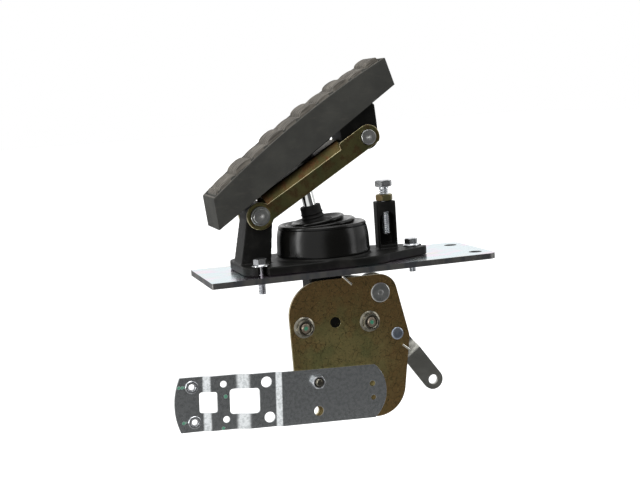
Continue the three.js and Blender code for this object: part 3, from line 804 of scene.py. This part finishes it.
# %% Side bolts and nuts
GREEN = (0.030, 0.20, 0.115)
SIDE_NEAR = span("front_side_plate")[0].y
seat = -SIDE_NEAR + 0.3
for where, nut_turn in (("left", 9), ("right", 22)):
    p = middle("side_nut_" + where)
    back, front = depths("side_bolt_" + where)
    end = turned([(0, front - 0.7), (3.5, front - 0.7), (3.0, front), (0, front)])
    shank = joined(thread(3.96, 1.25, 8, front - 0.6), end, round_bar(3.9, back + 4, 9))
    head = hex_body(13, back, back + 5.3, both=False)
    spots = [((p.x - 0.2, -front, p.z + 0.3), 2.0)]
    dab = with_spots(f"{where}_bolt_end", (0.70, 0.60, 0.48), (0.46, 0.38, 0.30), spots, GREEN)
    bolt = crosswise(joined(shank, head), p)
    piece(f"side_bolt_{where}_shank", bolt, "frame", [f"side_bolt_{where}"], [dab])
    nut = hex_body(13, seat, seat + 6.5, bore=4.3, flange=8.9)
    nut = crosswise(moved(nut, Matrix.Rotation(math.radians(nut_turn), 4, "Z")), p)
    piece(f"flange_nut_{where}", nut, "frame", [f"side_nut_{where}"], [OLD_BOLT])


# %% [markdown]
# ## Boot
# The boot is a bell with a rolled lip. Its top is a stack of folds that lean with the rod, because
# the rod is not upright. The bell is spun level, then everything inside the lip is turned and
# moved a little, more towards the middle. The bell stays on the floor; the neck round the rod is a
# separate piece that rides with the rod.

# %% Boot bell
rod_line = (CRANK_PIN - ROD_TOP).normalized()


def on_rod(z):
    return ROD_TOP + rod_line * (z - ROD_TOP.z) / rod_line.z


def fold(r, z, size, steps=6):
    return arc(r, z, size, -0.35 * math.pi, 0.6 * math.pi, steps)


outside = [(39, 14.6), (39.2, 16.4), (38.7, 17.6), (38.6, 24), (38.1, 30), (37.4, 34), (36.8, 36.2)]
lip = fold(34.8, 37.4, 1.9, steps=9)
shoulder = [(32.2, 38.6), (31.4, 37.9)] + fold(28.0, 39.3, 1.3) + [(25.6, 39.3), (24.6, 38.9)]
crown_rows = fold(20.6, 41.2, 1.6) + [(17.8, 41.4), (16, 40.4), (13.5, 40.2), (10, 40.4)]
inside = [(10, 38.4), (16, 38), (24, 36.4), (30, 35.2), (33.0, 32), (34.6, 22), (35.6, 14.6)]
bell = turned(outside + lip + shoulder + crown_rows + inside, 96, closed=True)
top_turn = Matrix.Rotation(math.radians(7.5), 4, "Y").inverted()
hub, sideways = Vector((0, 0, 39)), Vector((-3.0, 0, 0.4))
for v in bell.verts:
    share = clamp((33 - math.hypot(v.co.x, v.co.y)) / 9) * clamp((v.co.z - 34) / 3)
    v.co = v.co.lerp(hub + top_turn @ (v.co - hub) + sideways, share)
shift(bell, BOOT_X, 0, 0)
bell_piece = piece("boot_bell", bell, "frame", ["boot"], [BOOT_SKIN], smooth=50)
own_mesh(bell_piece)

# %% [markdown]
# The neck is a sleeve with a wide foot, two small folds and a plain collar that grips the rod. It
# is spun upright about its own axis and then aimed up the rod, from the point where the rod
# leaves the bell.

# %% Boot neck
neck_rows = [(5.6, 0), (15, 0.3), (15.6, 1.2), (14.6, 2.3), (11.2, 3.0), (9.6, 4.0), (9.2, 5.2), (9.7, 6.2),
             (8.9, 7.2), (8.8, 8.4), (9.4, 9.4), (8.7, 10.4), (8.6, 15.2), (8.1, 15.9), (6.2, 15.9), (5.6, 15.4)]
neck = aim(turned(neck_rows, 56, closed=True), on_rod(38.7), ROD_TOP - CRANK_PIN)
piece("boot_neck", neck, "rod", [], [NECK_SKIN], smooth=50)


# %% [markdown]
# ## Lever
# The treadle lever is pressed channel: two cheeks with round ends, and a roof that leans in from
# both cheeks. It is drawn in its own frame, with s along the line of its two pins and h square to
# it, then turned up to its rise. The cheeks' ends are arcs round the pins, so the ears stay
# round, and the roof is the channel's section, drawn flat and laid lengthwise.

# %% Lever frame
RISE = math.atan2(TOE.z - HINGE.z, TOE.x - HINGE.x)
REACH = math.hypot(TOE.x - HINGE.x, TOE.z - HINGE.z)
CHEEK_IN, CHEEK_OUT = 14.0, 17.0
HEEL_R, TOE_R = 11.3, 10.3


def on_lever(point):
    x, z = point.x - HINGE.x, point.z - HINGE.z
    return x * math.cos(RISE) + z * math.sin(RISE), z * math.cos(RISE) - x * math.sin(RISE)


def end_arc(s, r, start, stop, steps=14):
    return arc(s, 0, r, math.radians(start), math.radians(stop), steps)


ear = math.degrees(math.asin(8.5 / HEEL_R))
toe_low = math.degrees(math.asin(8.2 / TOE_R))
cheek_loop = (end_arc(0, HEEL_R, 26, 360 - ear, 34) + [(REACH - 8, -8.5)]
              + end_arc(REACH, TOE_R, -toe_low, 88, 22) + [(88.2, 10.0), (86.4, 9.0), (85.6, 5.0)])
cheek_holes = [ring(0, 0, 8.2), ring(REACH, 0, 6.5)]
# The cheeks' rims take the light rim finish, a painted highlight along their edges.
cheeks = [side_plate(cheek_loop, cheek_holes, y, y + 3, edge=0.7, rows=3, rim=1) for y in (-CHEEK_OUT, CHEEK_IN)]
roof_loop = corners([(-17, 0, 0), (-14, 0, 0), (-14, 3.5, 1), (-10, 10, 2), (10, 10, 2), (14, 3.5, 1), (14, 0, 0),
                     (17, 0, 0), (17, 4.2, 2.5), (12.8, 13, 2.2), (-12.8, 13, 2.2), (-17, 4.2, 2.5)], steps=4)
LENGTHWISE = Matrix(((0, 0, 1, 0), (1, 0, 0, 0), (0, 1, 0, 0), (0, 0, 0, 1)))
roof = moved(plate(roof_loop, [], 10, 88, edge=0.4), LENGTHWISE)
# The whole roof takes the darker finish, painted shade where the tread hangs over it.
for face in roof.faces:
    face.material_index = 2
lever = tilt(joined(cheeks[0], roof, cheeks[1]), HINGE, RISE)
piece("lever_channel", lever, "lever", ["treadle_link"], [LINK_GOLD, RIM_HIGHLIGHT_GOLD, ROOF_SHADE_GOLD],
      smooth=30)


# %% [markdown]
# Bushes, pins and clips are turned. A pin's end has a small chamfer, the fine steps that a facing
# tool leaves and a centre mark. The clip is a spring ring with a gap, in a groove behind the far
# cheek.

# %% Pins, bushes and clips
def faced_pin(r, low, high, mark=0.9):
    top = [(r, high - 0.3), (r - 0.3, high), (r * 0.78, high), (r * 0.74, high - 0.08), (r * 0.5, high - 0.02),
           (r * 0.46, high - 0.1), (mark, high - 0.04), (mark * 0.6, high - 0.3), (0, high - 0.45)]
    return turned([(0, low), (r - 0.5, low), (r, low + 0.5)] + top, 56)


def tube(inner, outer, low, high, chamfer=0.3):
    rows = [(inner + chamfer, low), (outer - chamfer, low), (outer, low + chamfer), (outer, high - chamfer),
            (outer - chamfer, high), (inner + chamfer, high), (inner, high - chamfer), (inner, low + chamfer)]
    return turned(rows, 48, closed=True)


def snap_ring(inner, outer, low, high):
    bm = bmesh.new()
    verts = [bm.verts.new((r, 0, z)) for r, z in box_loop(inner, low, outer, high, 0.25)]
    face = bm.faces.new(verts)
    bmesh.ops.spin(bm, geom=[face], cent=(0, 0, 0), axis=(0, 0, 1), angle=math.radians(300), steps=40)
    bmesh.ops.recalc_face_normals(bm, faces=bm.faces[:])
    return bm


def steel_part(name, bm, spot, body, node):
    return piece(name, crosswise(bm, spot), body, [node], [PIN])


for where, spot, body in (("hinge", HINGE, "frame"), ("upper", TOE, "lever")):
    pin, clip = where + "_pin", where + "_clip"
    steel_part(where + "_pivot_pin", faced_pin(6.2, *depths(pin)), spot, body, pin)
    steel_part(where + "_snap_ring", snap_ring(6.35, 9, *depths(clip)), spot, body, clip)
for where in ("front", "rear"):
    bush = "hinge_bush_" + where
    steel_part("hinge_sleeve_" + where, tube(6.35, 7.9, *depths(bush)), HINGE, "lever", bush)


# %% [markdown]
# The rod hangs in a small clevis under the lever: a bridge welded inside the channel and two ears
# with the pin through them. A round rubber buffer on the channel's roof cushions the tread frame.

# %% Clevis and buffer
s, h = on_lever(ROD_TOP)
bridge = plate(box_loop(s - 7, -9.9, s + 7, 9.9, 0.8), [], 8.1, 9.7, edge=0.3)
ear_loop = belt([(s, h, 6.5), (s + 5, 8.2, 1.2), (s - 5, 8.2, 1.2)])
ears = [side_plate(ear_loop, [ring(s, h, 4.2, 28)], *y, edge=0.3) for y in ((-9.9, -7), (7, 9.9))]
clevis = tilt(joined(bridge, *ears), HINGE, RISE)
piece("rod_clevis_bracket", clevis, "lever", ["rod_clevis"], [GREY])
steel_part("rod_clevis_pin", faced_pin(4, *depths("rod_pin")), ROD_TOP, "lever", "rod_pin")
stud = shift(turned([(0, 13.3), (6, 13.3), (6, 14.4), (5.6, 15.4), (4.4, 15.9), (0, 15.9)]), 62, 0, 0)
piece("rest_buffer", tilt(stud, HINGE, RISE), "lever", ["rest_bumper"], [TREAD])


# %% [markdown]
# ## Tread
# The tread is a thick rubber block on a cast frame. The frame is a flat carrier, a lug that takes
# the upper pin, and two short black ribs under the carrier, dark fill that stands as painted shade in
# the gap between the tread and the lever's roof. It is drawn level and raised to the slope of the
# tread.

# %% Tread frame
PAD_LONG, PAD_THICK, PAD_HALF = 187.0, 22.0, 23.0
PAD_AT = (-90.3, 0, 43.4)
carrier = tilt(plate(box_loop(5.5, -19, 177.5, 19, 2), [], 0.2, 4, edge=0.5), PAD_AT, PAD_RISE)
lug_loop = belt([(TOE.x, TOE.z, 10.2), (47.6, 133, 1.2), (43, 137.6, 1.2), (18.7, 118.6, 1.2), (20.5, 107, 1.5)])
lug = side_plate(lug_loop, [ring(TOE.x, TOE.z, 6.5)], -13.5, 13.5, edge=0.7)
# Two black ribs under the carrier: dark fill, painted shade in the gap above the lever's roof.
ribs = [tilt(side_plate(box_loop(88, -2.6, 119, 1.5, 0.8), [], y, y + 3, edge=0.3), PAD_AT, PAD_RISE)
        for y in (-13.2, 10.2)]
piece("tread_frame", joined(carrier, lug, *ribs), "tread", ["pad_frame"], [PAINT])

# %% [markdown]
# The rubber's face is crowned from end to end, with a raised bead round its rim and a channel
# inside it. Six narrow ribs run lengthwise inside the channel, and they are scalloped: a tall hump
# with a steep front, then a low one, every 36 mm. All of that is one formula for a height above
# the crown.

# %% Tread relief
HUMP, FIRST_HUMP = 36.0, 26.0
ROW, ROWS = 5.6, 6
ROWS_HALF = ROW * ROWS / 2
BEAD = 2.2


def smooth_step(x):
    x = clamp(x)
    return x * x * (3 - 2 * x)


def crown(u):
    share = u / PAD_LONG
    return PAD_THICK + 5.2 * 4 * share * (1 - share)


def relief(u, v):
    """Height of the moulded pattern above the crown: a bead at the rim, then scalloped ribs."""
    rim = min(u, PAD_LONG - u, PAD_HALF - abs(v))
    if rim < BEAD:
        return 0.6 * math.sqrt(max(0.0, 1 - (1 - rim / (BEAD / 2)) ** 2)) if rim > 0 else 0.0
    rows = (v + ROWS_HALF) / ROW
    index = math.floor(rows)
    if not 0 <= index < ROWS:
        return -1.0
    in_row = abs(rows - index - 0.5) * 2
    wave = (u - FIRST_HUMP) / HUMP % 1.0
    along = (2 * wave % 1.0) ** 0.72
    hump = (3.7 if wave < 0.5 else 2.0) * math.sqrt(max(0.0, 1 - (2 * along - 1) ** 2))
    ends = smooth_step((min(u, PAD_LONG - u) - BEAD - 0.8) / 2.5)
    groove = 1.1 * smooth_step((in_row - 0.6) / 0.4)
    return -1.0 + ends * (1.2 + hump - groove) * smooth_step((ROWS_HALF - abs(v)) / 1.2)


print("Relief in mm: tall hump", round(relief(33, 2.8), 2), "low hump", round(relief(51, 2.8), 2))


# %% [markdown]
# The block starts as a grid whose points are lifted by the formula. Its rim is then extruded three
# times: down to the underside, in under it, and up into a shallow hollow that sits on the frame.
# Both ends lean with the height, as the mould's ends do.

# %% Tread block
CELL = 0.55


def open_rim(bm):
    return [e for e in bm.edges if e.is_boundary]


def grown(bm):
    """Extrude the open rim once, and give back its new points."""
    return new_verts(bmesh.ops.extrude_edge_only(bm, edges=open_rim(bm)))


tread = bmesh.new()
columns, lanes = round(PAD_LONG / CELL), round(2 * PAD_HALF / CELL)
bmesh.ops.create_grid(tread, x_segments=columns, y_segments=lanes, size=0.5)
bmesh.ops.scale(tread, vec=(PAD_LONG, 2 * PAD_HALF, 1), verts=tread.verts[:])
bmesh.ops.translate(tread, vec=(PAD_LONG / 2, 0, 0), verts=tread.verts[:])
for v in tread.verts:
    v.co.z = crown(v.co.x) + relief(v.co.x, v.co.y)
for face in tread.faces:
    middle_point = face.calc_center_median()
    face.material_index = 1 if middle_point.z > crown(middle_point.x) + 0.4 else 0
for v in grown(tread):
    v.co.z = 0.0
for v in grown(tread):
    v.co.x = clamp(v.co.x, 5.0, 178.0)
    v.co.y = clamp(v.co.y, -PAD_HALF + 3.5, PAD_HALF - 3.5)
for v in grown(tread):
    v.co.z = 4.3
bmesh.ops.holes_fill(tread, edges=open_rim(tread), sides=0)
for face in tread.faces:
    if abs(face.normal.z) < 0.3 and face.calc_center_median().z < PAD_THICK - 1:
        face.material_index = 0
for v in tread.verts:
    share = v.co.z / PAD_THICK
    v.co.x += share * (11.9 * (1 - v.co.x / PAD_LONG) + 6.5 * v.co.x / PAD_LONG)
bmesh.ops.remove_doubles(tread, verts=tread.verts[:], dist=0.001)
bmesh.ops.recalc_face_normals(tread, faces=tread.faces[:])
tilt(tread, PAD_AT, PAD_RISE)
piece("tread_rubber_pad", tread, "tread", ["tread_pad"], [TREAD, RIBS], smooth=40)


# %% [markdown]
# ## Rod and crank
# The plunger rod is ground bar between an eye in the lever and a fork on the crank. It is drawn
# along its own axis from the eye, with the eye and the fork turned across it, then aimed down the
# line between its two pins.

# %% Plunger rod
ROD_LONG = (CRANK_PIN - ROD_TOP).length


def turn_down(bm):
    lean = math.atan2(rod_line.x, -rod_line.z)
    turn = Matrix.Rotation(-lean, 4, "Y") @ Matrix.Rotation(math.pi, 4, "X")
    return moved(bm, Matrix.Translation(ROD_TOP) @ turn)


def eye_body(r, half, z, bore):
    bm = cut(round_bar(r, -half, half, 0.6), round_bar(bore, -half - 5, half + 5, steps=32))
    return shift(across(bm), 0, 0, z)


stem = turned([(0, 3), (5.3, 3), (5.3, ROD_LONG - 16), (0, ROD_LONG - 16)], 48)
fork_low = ROD_LONG - 16.5
fork_rows = [(0, fork_low), (5.6, fork_low), (7.3, ROD_LONG - 14.6), (7.3, ROD_LONG), (0, ROD_LONG)]
fork = joined(turned(fork_rows), shift(across(round_bar(7.4, -7.3, 7.3, 0.4)), 0, 0, ROD_LONG))
mouth = plate(box_loop(-9, -2.9, 9, 2.9, 0.4), [], ROD_LONG - 10.6, ROD_LONG + 12, edge=0)
fork = cut(fork, mouth, shift(across(round_bar(4.7, -9, 9, 0.1, steps=32)), 0, 0, ROD_LONG))
rod = turn_down(joined(stem, eye_body(7.6, 6.5, 0, 4.3), fork))
piece("push_rod", rod, "rod", ["plunger_rod"], [ROD])


# %% [markdown]
# The crank is one lever on a long sleeve that turns on the shaft. Its arm is a belt from the sleeve
# to the rod's fork, with a disc round the sleeve and an eye for the pin, all joined and then bored.

# %% Crank and crank pin
crank_arm = side_plate(belt([(CRANK_PIN.x, CRANK_PIN.z, 4.4), (SHAFT.x, SHAFT.z, 4.4)]), [], -2.5, 2.5, edge=0.4)
crank_eye = crosswise(round_bar(7.2, -2.5, 2.5, 0.4, steps=40), CRANK_PIN)
hub_disc = crosswise(round_bar(14.3, -2.5, 2.5, 0.5, steps=64), SHAFT)
sleeve = crosswise(round_bar(8.6, *depths("crank_lever"), 0.4, steps=48), SHAFT)
crank_bores = [crosswise(round_bar(6.5, -30, 30), SHAFT), crosswise(round_bar(3.8, -9, 9), CRANK_PIN)]
crank = cut(joined(crank_arm, crank_eye, hub_disc, sleeve), *crank_bores)
piece("bell_crank", crank, "crank", ["crank_lever"], [GREY])
steel_part("crank_rod_pin", faced_pin(3.5, *depths("crank_pin"), 0.6), CRANK_PIN, "crank", "crank_pin")


# %% [markdown]
# Bent strips are cut flat first. The flat blank is then divided along its bend lines, and every
# point is moved square to the strip by a smooth step, so holes and windows that cross a bend
# follow it. The output arm has one step, and the bracket has three. The arm is two pieces of bar
# joined at its bend and bored for the sleeve.

# %% Bent strips and the output arm
BEND_ROWS = 8


def step_down(a, start, stop, depth):
    return depth * smooth_step((a - start) / (stop - start))


def bent(blank, bends):
    """bends holds, for each step, where it starts and stops along the strip and how deep it is."""
    for start, stop, _ in bends:
        for i in range(BEND_ROWS + 1):
            a = start + (stop - start) * i / BEND_ROWS
            geom = blank.verts[:] + blank.edges[:] + blank.faces[:]
            bmesh.ops.bisect_plane(blank, geom=geom, dist=0.0001, plane_co=(a, 0, 0), plane_no=(1, 0, 0))
    for v in blank.verts:
        v.co.z += sum(step_down(v.co.x, *bend) for bend in bends)
    return blank


BEND, ARM_END = Vector((66, 0, -70.3)), Vector((91.1, 0, -105.9))
arm_run = (ARM_END - BEND).length
arm_dip = math.atan2(ARM_END.z - BEND.z, ARM_END.x - BEND.x)
upper = side_plate(belt([(BEND.x, BEND.z, 8.7), (SHAFT.x, SHAFT.z, 12.5)]), [], 2.8, 6, edge=0.45)
blank = plate(belt([(arm_run, 0, 8.7), (0, 0, 8.7)]), [ring(arm_run, 0, 4.2)], -6, -2.8, edge=0.45)
lower = tilt(across(bent(blank, [(4, 14, 6)])), BEND, arm_dip)
arm = cut(joined(upper, lower), crosswise(round_bar(8.9, -20, 20), SHAFT))
piece("output_lever_arm", arm, "crank", ["output_arm"], [GREY], smooth=32)


# %% [markdown]
# ## Side plates and springs
# The front side plate is punched from 3 mm sheet and plated yellow. Its rim is painted brighter than
# its face, a painted highlight along the rounded punched edge. The rear plate is a small strap that
# carries the far end of the shaft.

# %% Side plates
low, high = span("front_side_plate")
front_loop = belt([(-16, -101, 20.3), (34, -101, 25.3), (54.2, -60.6, 11), (SHAFT.x, SHAFT.z, 15.1),
                   (-9.5, -34.5, 28.3)])
punched = [ring(*hole) for hole in (
    (*LEFT_BOLT, 4.3), (*RIGHT_BOLT, 4.3), (1.1, -42.2, 4.6), (SHAFT.x, SHAFT.z, 6.5), (*POST_AT, 3.1),
    (-18.4, -88.8, 3.4), (-22, -113.5, 4.2))]
sheet = side_plate(front_loop, punched, low.y, high.y, edge=1.1, rows=4, rim=1)
piece("side_plate_front", sheet, "frame", ["front_side_plate"], [SIDE_GOLD, RIM_HIGHLIGHT_GOLD], smooth=32)
low, high = span("rear_side_plate")
rear_loop = belt([(2, -44, 8), (*RIGHT_BOLT, 9), (SHAFT.x, SHAFT.z, 9.5)])
strap = side_plate(rear_loop, [ring(*RIGHT_BOLT, 4.3), ring(SHAFT.x, SHAFT.z, 6.5)], low.y, high.y, edge=0.5)
piece("side_plate_rear", strap, "frame", ["rear_side_plate"], [SIDE_GOLD])

# %% [markdown]
# The shaft and the spring post are both riveted over on the front plate. A spun profile gives each
# its collar, its flattened head and the shallow rings that the riveting tool left.

# %% Shaft and spring post
back, front = depths("main_shaft")
head_rows = [(6.2, front - 1.5), (8.2, front - 1.5), (8.2, front - 0.5), (7.6, front - 0.1), (6.3, front),
             (6.1, front - 0.12), (4.4, front - 0.1), (4.2, front), (2.6, front), (2.4, front - 0.14),
             (1.0, front - 0.12), (0, front - 0.3)]
tail_rows = [(0, back), (7.6, back), (8, back + 0.4), (8, back + 1.7), (6.2, back + 1.7)]
steel_part("crank_shaft_rivet", turned(tail_rows + head_rows, 64), SHAFT, "frame", "main_shaft")
back, front = depths("spring_post")
collar = -SIDE_NEAR - 3.3
post_rows = [(0, back), (3.6, back), (4, back + 0.4), (4, collar), (2.8, collar), (2.8, front - 1.4),
             (5.2, front - 1.4), (5.2, front - 0.6), (4.6, front - 0.15), (3.2, front), (1.2, front - 0.1),
             (0, front - 0.25)]
spring_post = across(turned(post_rows, 48), *POST_AT)
blue_rivet = rolled_steel("blue_rivet", (0.50, 0.55, 0.62), (0.33, 0.38, 0.47), (1, 1, 1))
piece("spring_post_rivet", spring_post, "frame", ["spring_post"], [blue_rivet])


# %% [markdown]
# Each return spring is wire wound round the crank's sleeve, with one leg brought forward and
# hooked over the edge of the side plate. A curve of one line with a round section makes the coil
# and its leg together, so the wire never breaks where they meet.

# %% Return springs
def wire(points, r, name):
    curve = bpy.data.curves.new(name, "CURVE")
    curve.dimensions = "3D"
    curve.bevel_depth = r
    curve.bevel_resolution = 3
    curve.use_fill_caps = True
    line = curve.splines.new("POLY")
    line.points.add(len(points) - 1)
    for target, p in zip(line.points, points):
        target.co = (*p, 1)
    bm = settled(in_scene(name, curve))
    bmesh.ops.remove_doubles(bm, verts=bm.verts[:], dist=0.01)
    bmesh.ops.recalc_face_normals(bm, faces=bm.faces[:])
    return bm


def round_path(points, r, steps=6):
    path = [Vector(points[0])]
    for before, here, after in zip(points, points[1:], points[2:]):
        here = Vector(here)
        start = here + (Vector(before) - here).normalized() * r
        stop = here + (Vector(after) - here).normalized() * r
        for i in range(steps + 1):
            t = i / steps
            path.append(start.lerp(here, t).lerp(here.lerp(stop, t), t))
    return path + [Vector(points[-1])]


def spring(y0, y1, start, leg):
    turns, steps, r = 2.75, 30, 10.7
    coil = []
    for i in range(round(turns * steps) + 1):
        t = i / steps
        angle = start + 2 * math.pi * t
        coil.append((SHAFT.x + r * math.cos(angle), y1 - (y1 - y0) * t / turns, SHAFT.z + r * math.sin(angle)))
    return wire(coil + round_path([coil[-1], *leg], 1.8)[1:], 0.95, "spring_wire")


front_leg = [(37, -15.6, -9.0), (9.4, -15, -4.6), (9.4, -21.9, -4.6), (16.7, -21.9, -12)]
rear_leg = [(53.5, -5, -27), (64.4, -8, -73), (64.4, -21.9, -73), (57.9, -21.9, -67.4)]
for where, y0, y1, start, leg in (("front", -11.6, -15.6, -180, front_leg), ("rear", -9.0, -5.0, 90, rear_leg)):
    coil = spring(y0, y1, math.radians(start), leg)
    piece("torsion_spring_" + where, coil, "frame", ["return_spring_" + where], [WIRE])


# %% [markdown]
# ## Adapter bracket
# The bracket is a long zinc plated strip, punched with windows and holes and stepped back three
# times so that it clears what it is fixed to. Dabs of green paint mark two of its flats.

# %% Bracket
BRACKET_AT, BRACKET_DIP = Vector((29.5, 0, -103.35)), math.radians(-2.6)
HALF = 22.7
bow, heel = math.asin(HALF / 30), math.asin(HALF / 57)
strip_loop = arc(-18.2, 0, 30, -bow, bow, 18) + arc(-109, 0, 57, math.pi - heel, math.pi + heel, 14)
round_holes = [(-48.5, 12.4, 3.4), (-47.8, -12.6, 4), (-0.8, 6.5, 2.4), (0, -5.4, 2.1), (-91, 15, 4.4),
               (-88.9, -14.5, 4.4), (-125.9, 15.4, 2.7), (-124.2, -14, 2.7), (-151.7, 14.7, 3.9),
               (-150, -14.4, 3.9)]
windows = [box_loop(-120.9, -10, -96.9, 10.8, 3), box_loop(-145.6, -7.5, -131.3, 9.5, 2)]


def on_bracket(a, b, y):
    c, s = math.cos(BRACKET_DIP), math.sin(BRACKET_DIP)
    return BRACKET_AT.x + a * c - b * s, y, BRACKET_AT.z + a * s + b * c


dabs = [(-162, 14.7, -15, 1.9), (-159.4, 14.8, -15, 1.8), (-157, 14.9, -15, 1.6), (-159, -14.5, -15, 1.9),
        (-157, -13.9, -15, 1.4), (-124.4, 5.2, -17, 1.9), (-127, -21, -17, 1.7)]
marks = [(on_bracket(a, b, y), reach) for a, b, y, reach in dabs]
BRACKET_SKIN = with_spots("blue_zinc_bracket_marked", (0.80, 0.83, 0.84), (0.60, 0.63, 0.64), marks,
                          (0.09, 0.30, 0.19), rough=0.17)
strip = plate(strip_loop, [ring(*hole) for hole in round_holes] + windows, 21, 23, edge=0.3, rim=1)
steps_back = [(-84, -78, 2.5), (-117, -103, 4), (-143.5, -135.5, 2.5)]
strip = bent(strip, steps_back)
bmesh.ops.translate(strip, vec=(0, 0, -sum(depth for _, _, depth in steps_back)), verts=strip.verts[:])
strip = tilt(across(strip), BRACKET_AT, BRACKET_DIP)
piece("stepped_bracket", strip, "frame", ["adapter_bracket"], [BRACKET_SKIN, BLUE], smooth=32)

# %% [markdown]
# Two press nuts are swaged into the bracket, and one hexagon nut holds it to the side plate. The
# press nuts are spun; the other nut and its screw come from the functions for fasteners.

# %% Bracket fasteners
for where in ("upper", "lower"):
    node = "clinch_nut_" + where
    back, front = depths(node)
    rows = [(2.5, back), (3.5, back), (3.6, back + 0.3), (3.6, front - 1), (5.2, front - 1), (5.2, front - 0.35),
            (4.8, front), (3.5, front), (3.2, front - 0.45), (2.5, front - 0.5)]
    press_nut = crosswise(turned(rows, 40, closed=True), middle(node))
    piece("press_nut_" + where, press_nut, "frame", [node], [BOLT])
p = middle("bracket_nut")
nut = crosswise(hex_body(10, *depths("bracket_nut"), bore=3.2), p)
piece("bracket_hex_nut", nut, "frame", ["bracket_nut"], [BOLT])
back, front = depths("bracket_bolt")
end = turned([(0, front - 0.6), (2.5, front - 0.6), (2.1, front), (0, front)])
shank = joined(thread(2.97, 1.0, 17, front - 0.5), end)
screw = crosswise(joined(shank, hex_body(10, back, 17.2, both=False)), p)
piece("bracket_screw", screw, "frame", ["bracket_bolt"], [OLD_BOLT])


# %% [markdown]
# ## Light, floor and camera
# Shiny metal is only as good as what it reflects. The surroundings are a white tent with a dim
# opening on the side the camera looks from, so flat faces turned that way stay dark while
# bends, chamfers and rims that face elsewhere light up. Seen straight on, the tent is plain white.

# %% Surroundings
scene = bpy.context.scene
scene.view_settings.view_transform = "Standard"
scene.world = bpy.data.worlds.new("white_tent")
scene.world.use_nodes = True
tent = NodeTree(scene.world.node_tree)
OPENING = Vector((0.5, -0.866, -0.05)).normalized()
DIMMED = 0.10
direction = {0: tent.node("TexCoord", output="Generated"), 1: OPENING}
towards = tent.node("VectorMath", {"operation": "DOT_PRODUCT"}, direction, output="Value")
wide, narrow = math.cos(math.radians(54)), math.cos(math.radians(33))
glow = towards.between(wide, narrow, at_low=1.0, at_high=DIMMED)
seen = tent.node("LightPath", output="Is Camera Ray")
background = tent.tree.nodes["Background"].inputs
tent.feed(background["Strength"], tent.node("Mix", {}, {0: seen, 2: glow, 3: 1.0}))
background["Color"].default_value = (1, 1, 1, 1)
print("Tent opening towards", OPENING)


# %% [markdown]
# Two upright soft boxes give the glossy rubber its two highlights, and a third one above fills the
# tops. Each stands on a bearing round the pedal, in metres and degrees, and looks at its middle.

# %% Soft boxes
def soft_box(name, bearing, distance, height, width, tall, watts):
    data = bpy.data.lights.new(name, "AREA")
    data.shape = "RECTANGLE"
    data.size, data.size_y = width, tall
    data.energy = watts
    lamp = in_scene(name, data)
    turn = math.radians(bearing)
    lamp.location = (distance * math.sin(turn), -distance * math.cos(turn), height)
    lamp.rotation_euler = (-lamp.location).to_track_quat("-Z", "Y").to_euler()


soft_box("left_box", -80, 1.2, 0.25, 0.22, 1.2, 8)
soft_box("right_box", 62, 1.3, 0.3, 0.36, 0.9, 3)
soft_box("top_box", -20, 0.4, 1.3, 1.2, 1.2, 14)
print("Lights:", len(bpy.data.lights))


# %% [markdown]
# The floor is paper well below the pedal. Its near edge stops a little in front of the pedal, so
# that the plated parts don't mirror a bright sheet in front of them. For the metal it is a middle
# grey, and seen straight on it glows white, so it melts into the tent with no horizon.

# %% Floor
FLOOR_Z, FLOOR_HALF, NEAR_EDGE = -0.24, 6.0, -0.25
floor_bm = bmesh.new()
bmesh.ops.create_grid(floor_bm, x_segments=8, y_segments=8, size=FLOOR_HALF)
floor = in_scene("studio_floor", mesh_of(shift(floor_bm, 0, NEAR_EDGE + FLOOR_HALF, FLOOR_Z), "studio_floor"))
paper = Finish("white_paper", Roughness=0.9, Emission_Strength=1.0)
seen = paper.node("LightPath", output="Is Camera Ray")
floor.data.materials.append(paper.paint(
    Base_Color=paper.mix(paper.noise(40), (0.30, 0.30, 0.30), (0.34, 0.34, 0.34)),
    Emission_Color=paper.mix(seen, (0, 0, 0), (1, 1, 1))))

# %% [markdown]
# The camera stands a metre from the pedal, to its front left and a little above it, with a slight
# roll. Its three axes are worked out from those angles and set as one matrix.

# %% Camera
DISTANCE = 1.0
BEARING, HEIGHT_ANGLE, ROLL = math.radians(16.146), math.radians(7.019), math.radians(-3.858)
LOOK_AT = Vector((-0.001456, 0, 0.024662))
flat = math.cos(HEIGHT_ANGLE)
forward = Vector((math.sin(BEARING) * flat, math.cos(BEARING) * flat, -math.sin(HEIGHT_ANGLE)))
level = Vector((math.cos(BEARING), -math.sin(BEARING), 0))
upright = level.cross(forward)
right = level * math.cos(ROLL) + upright * math.sin(ROLL)
up = upright * math.cos(ROLL) - level * math.sin(ROLL)
camera = in_scene("camera", bpy.data.cameras.new("camera"))
camera.data.lens = 67.5
camera.data.sensor_width = 36
camera.data.clip_start = 0.05
turn = Matrix((right, up, -forward)).transposed().to_4x4()
camera.matrix_world = Matrix.Translation(LOOK_AT - forward * DISTANCE) @ turn
scene.camera = camera

# %% Sizes
print("Pieces:", len(made_pieces), "faces:", sum(len(p.data.polygons) for p in made_pieces))
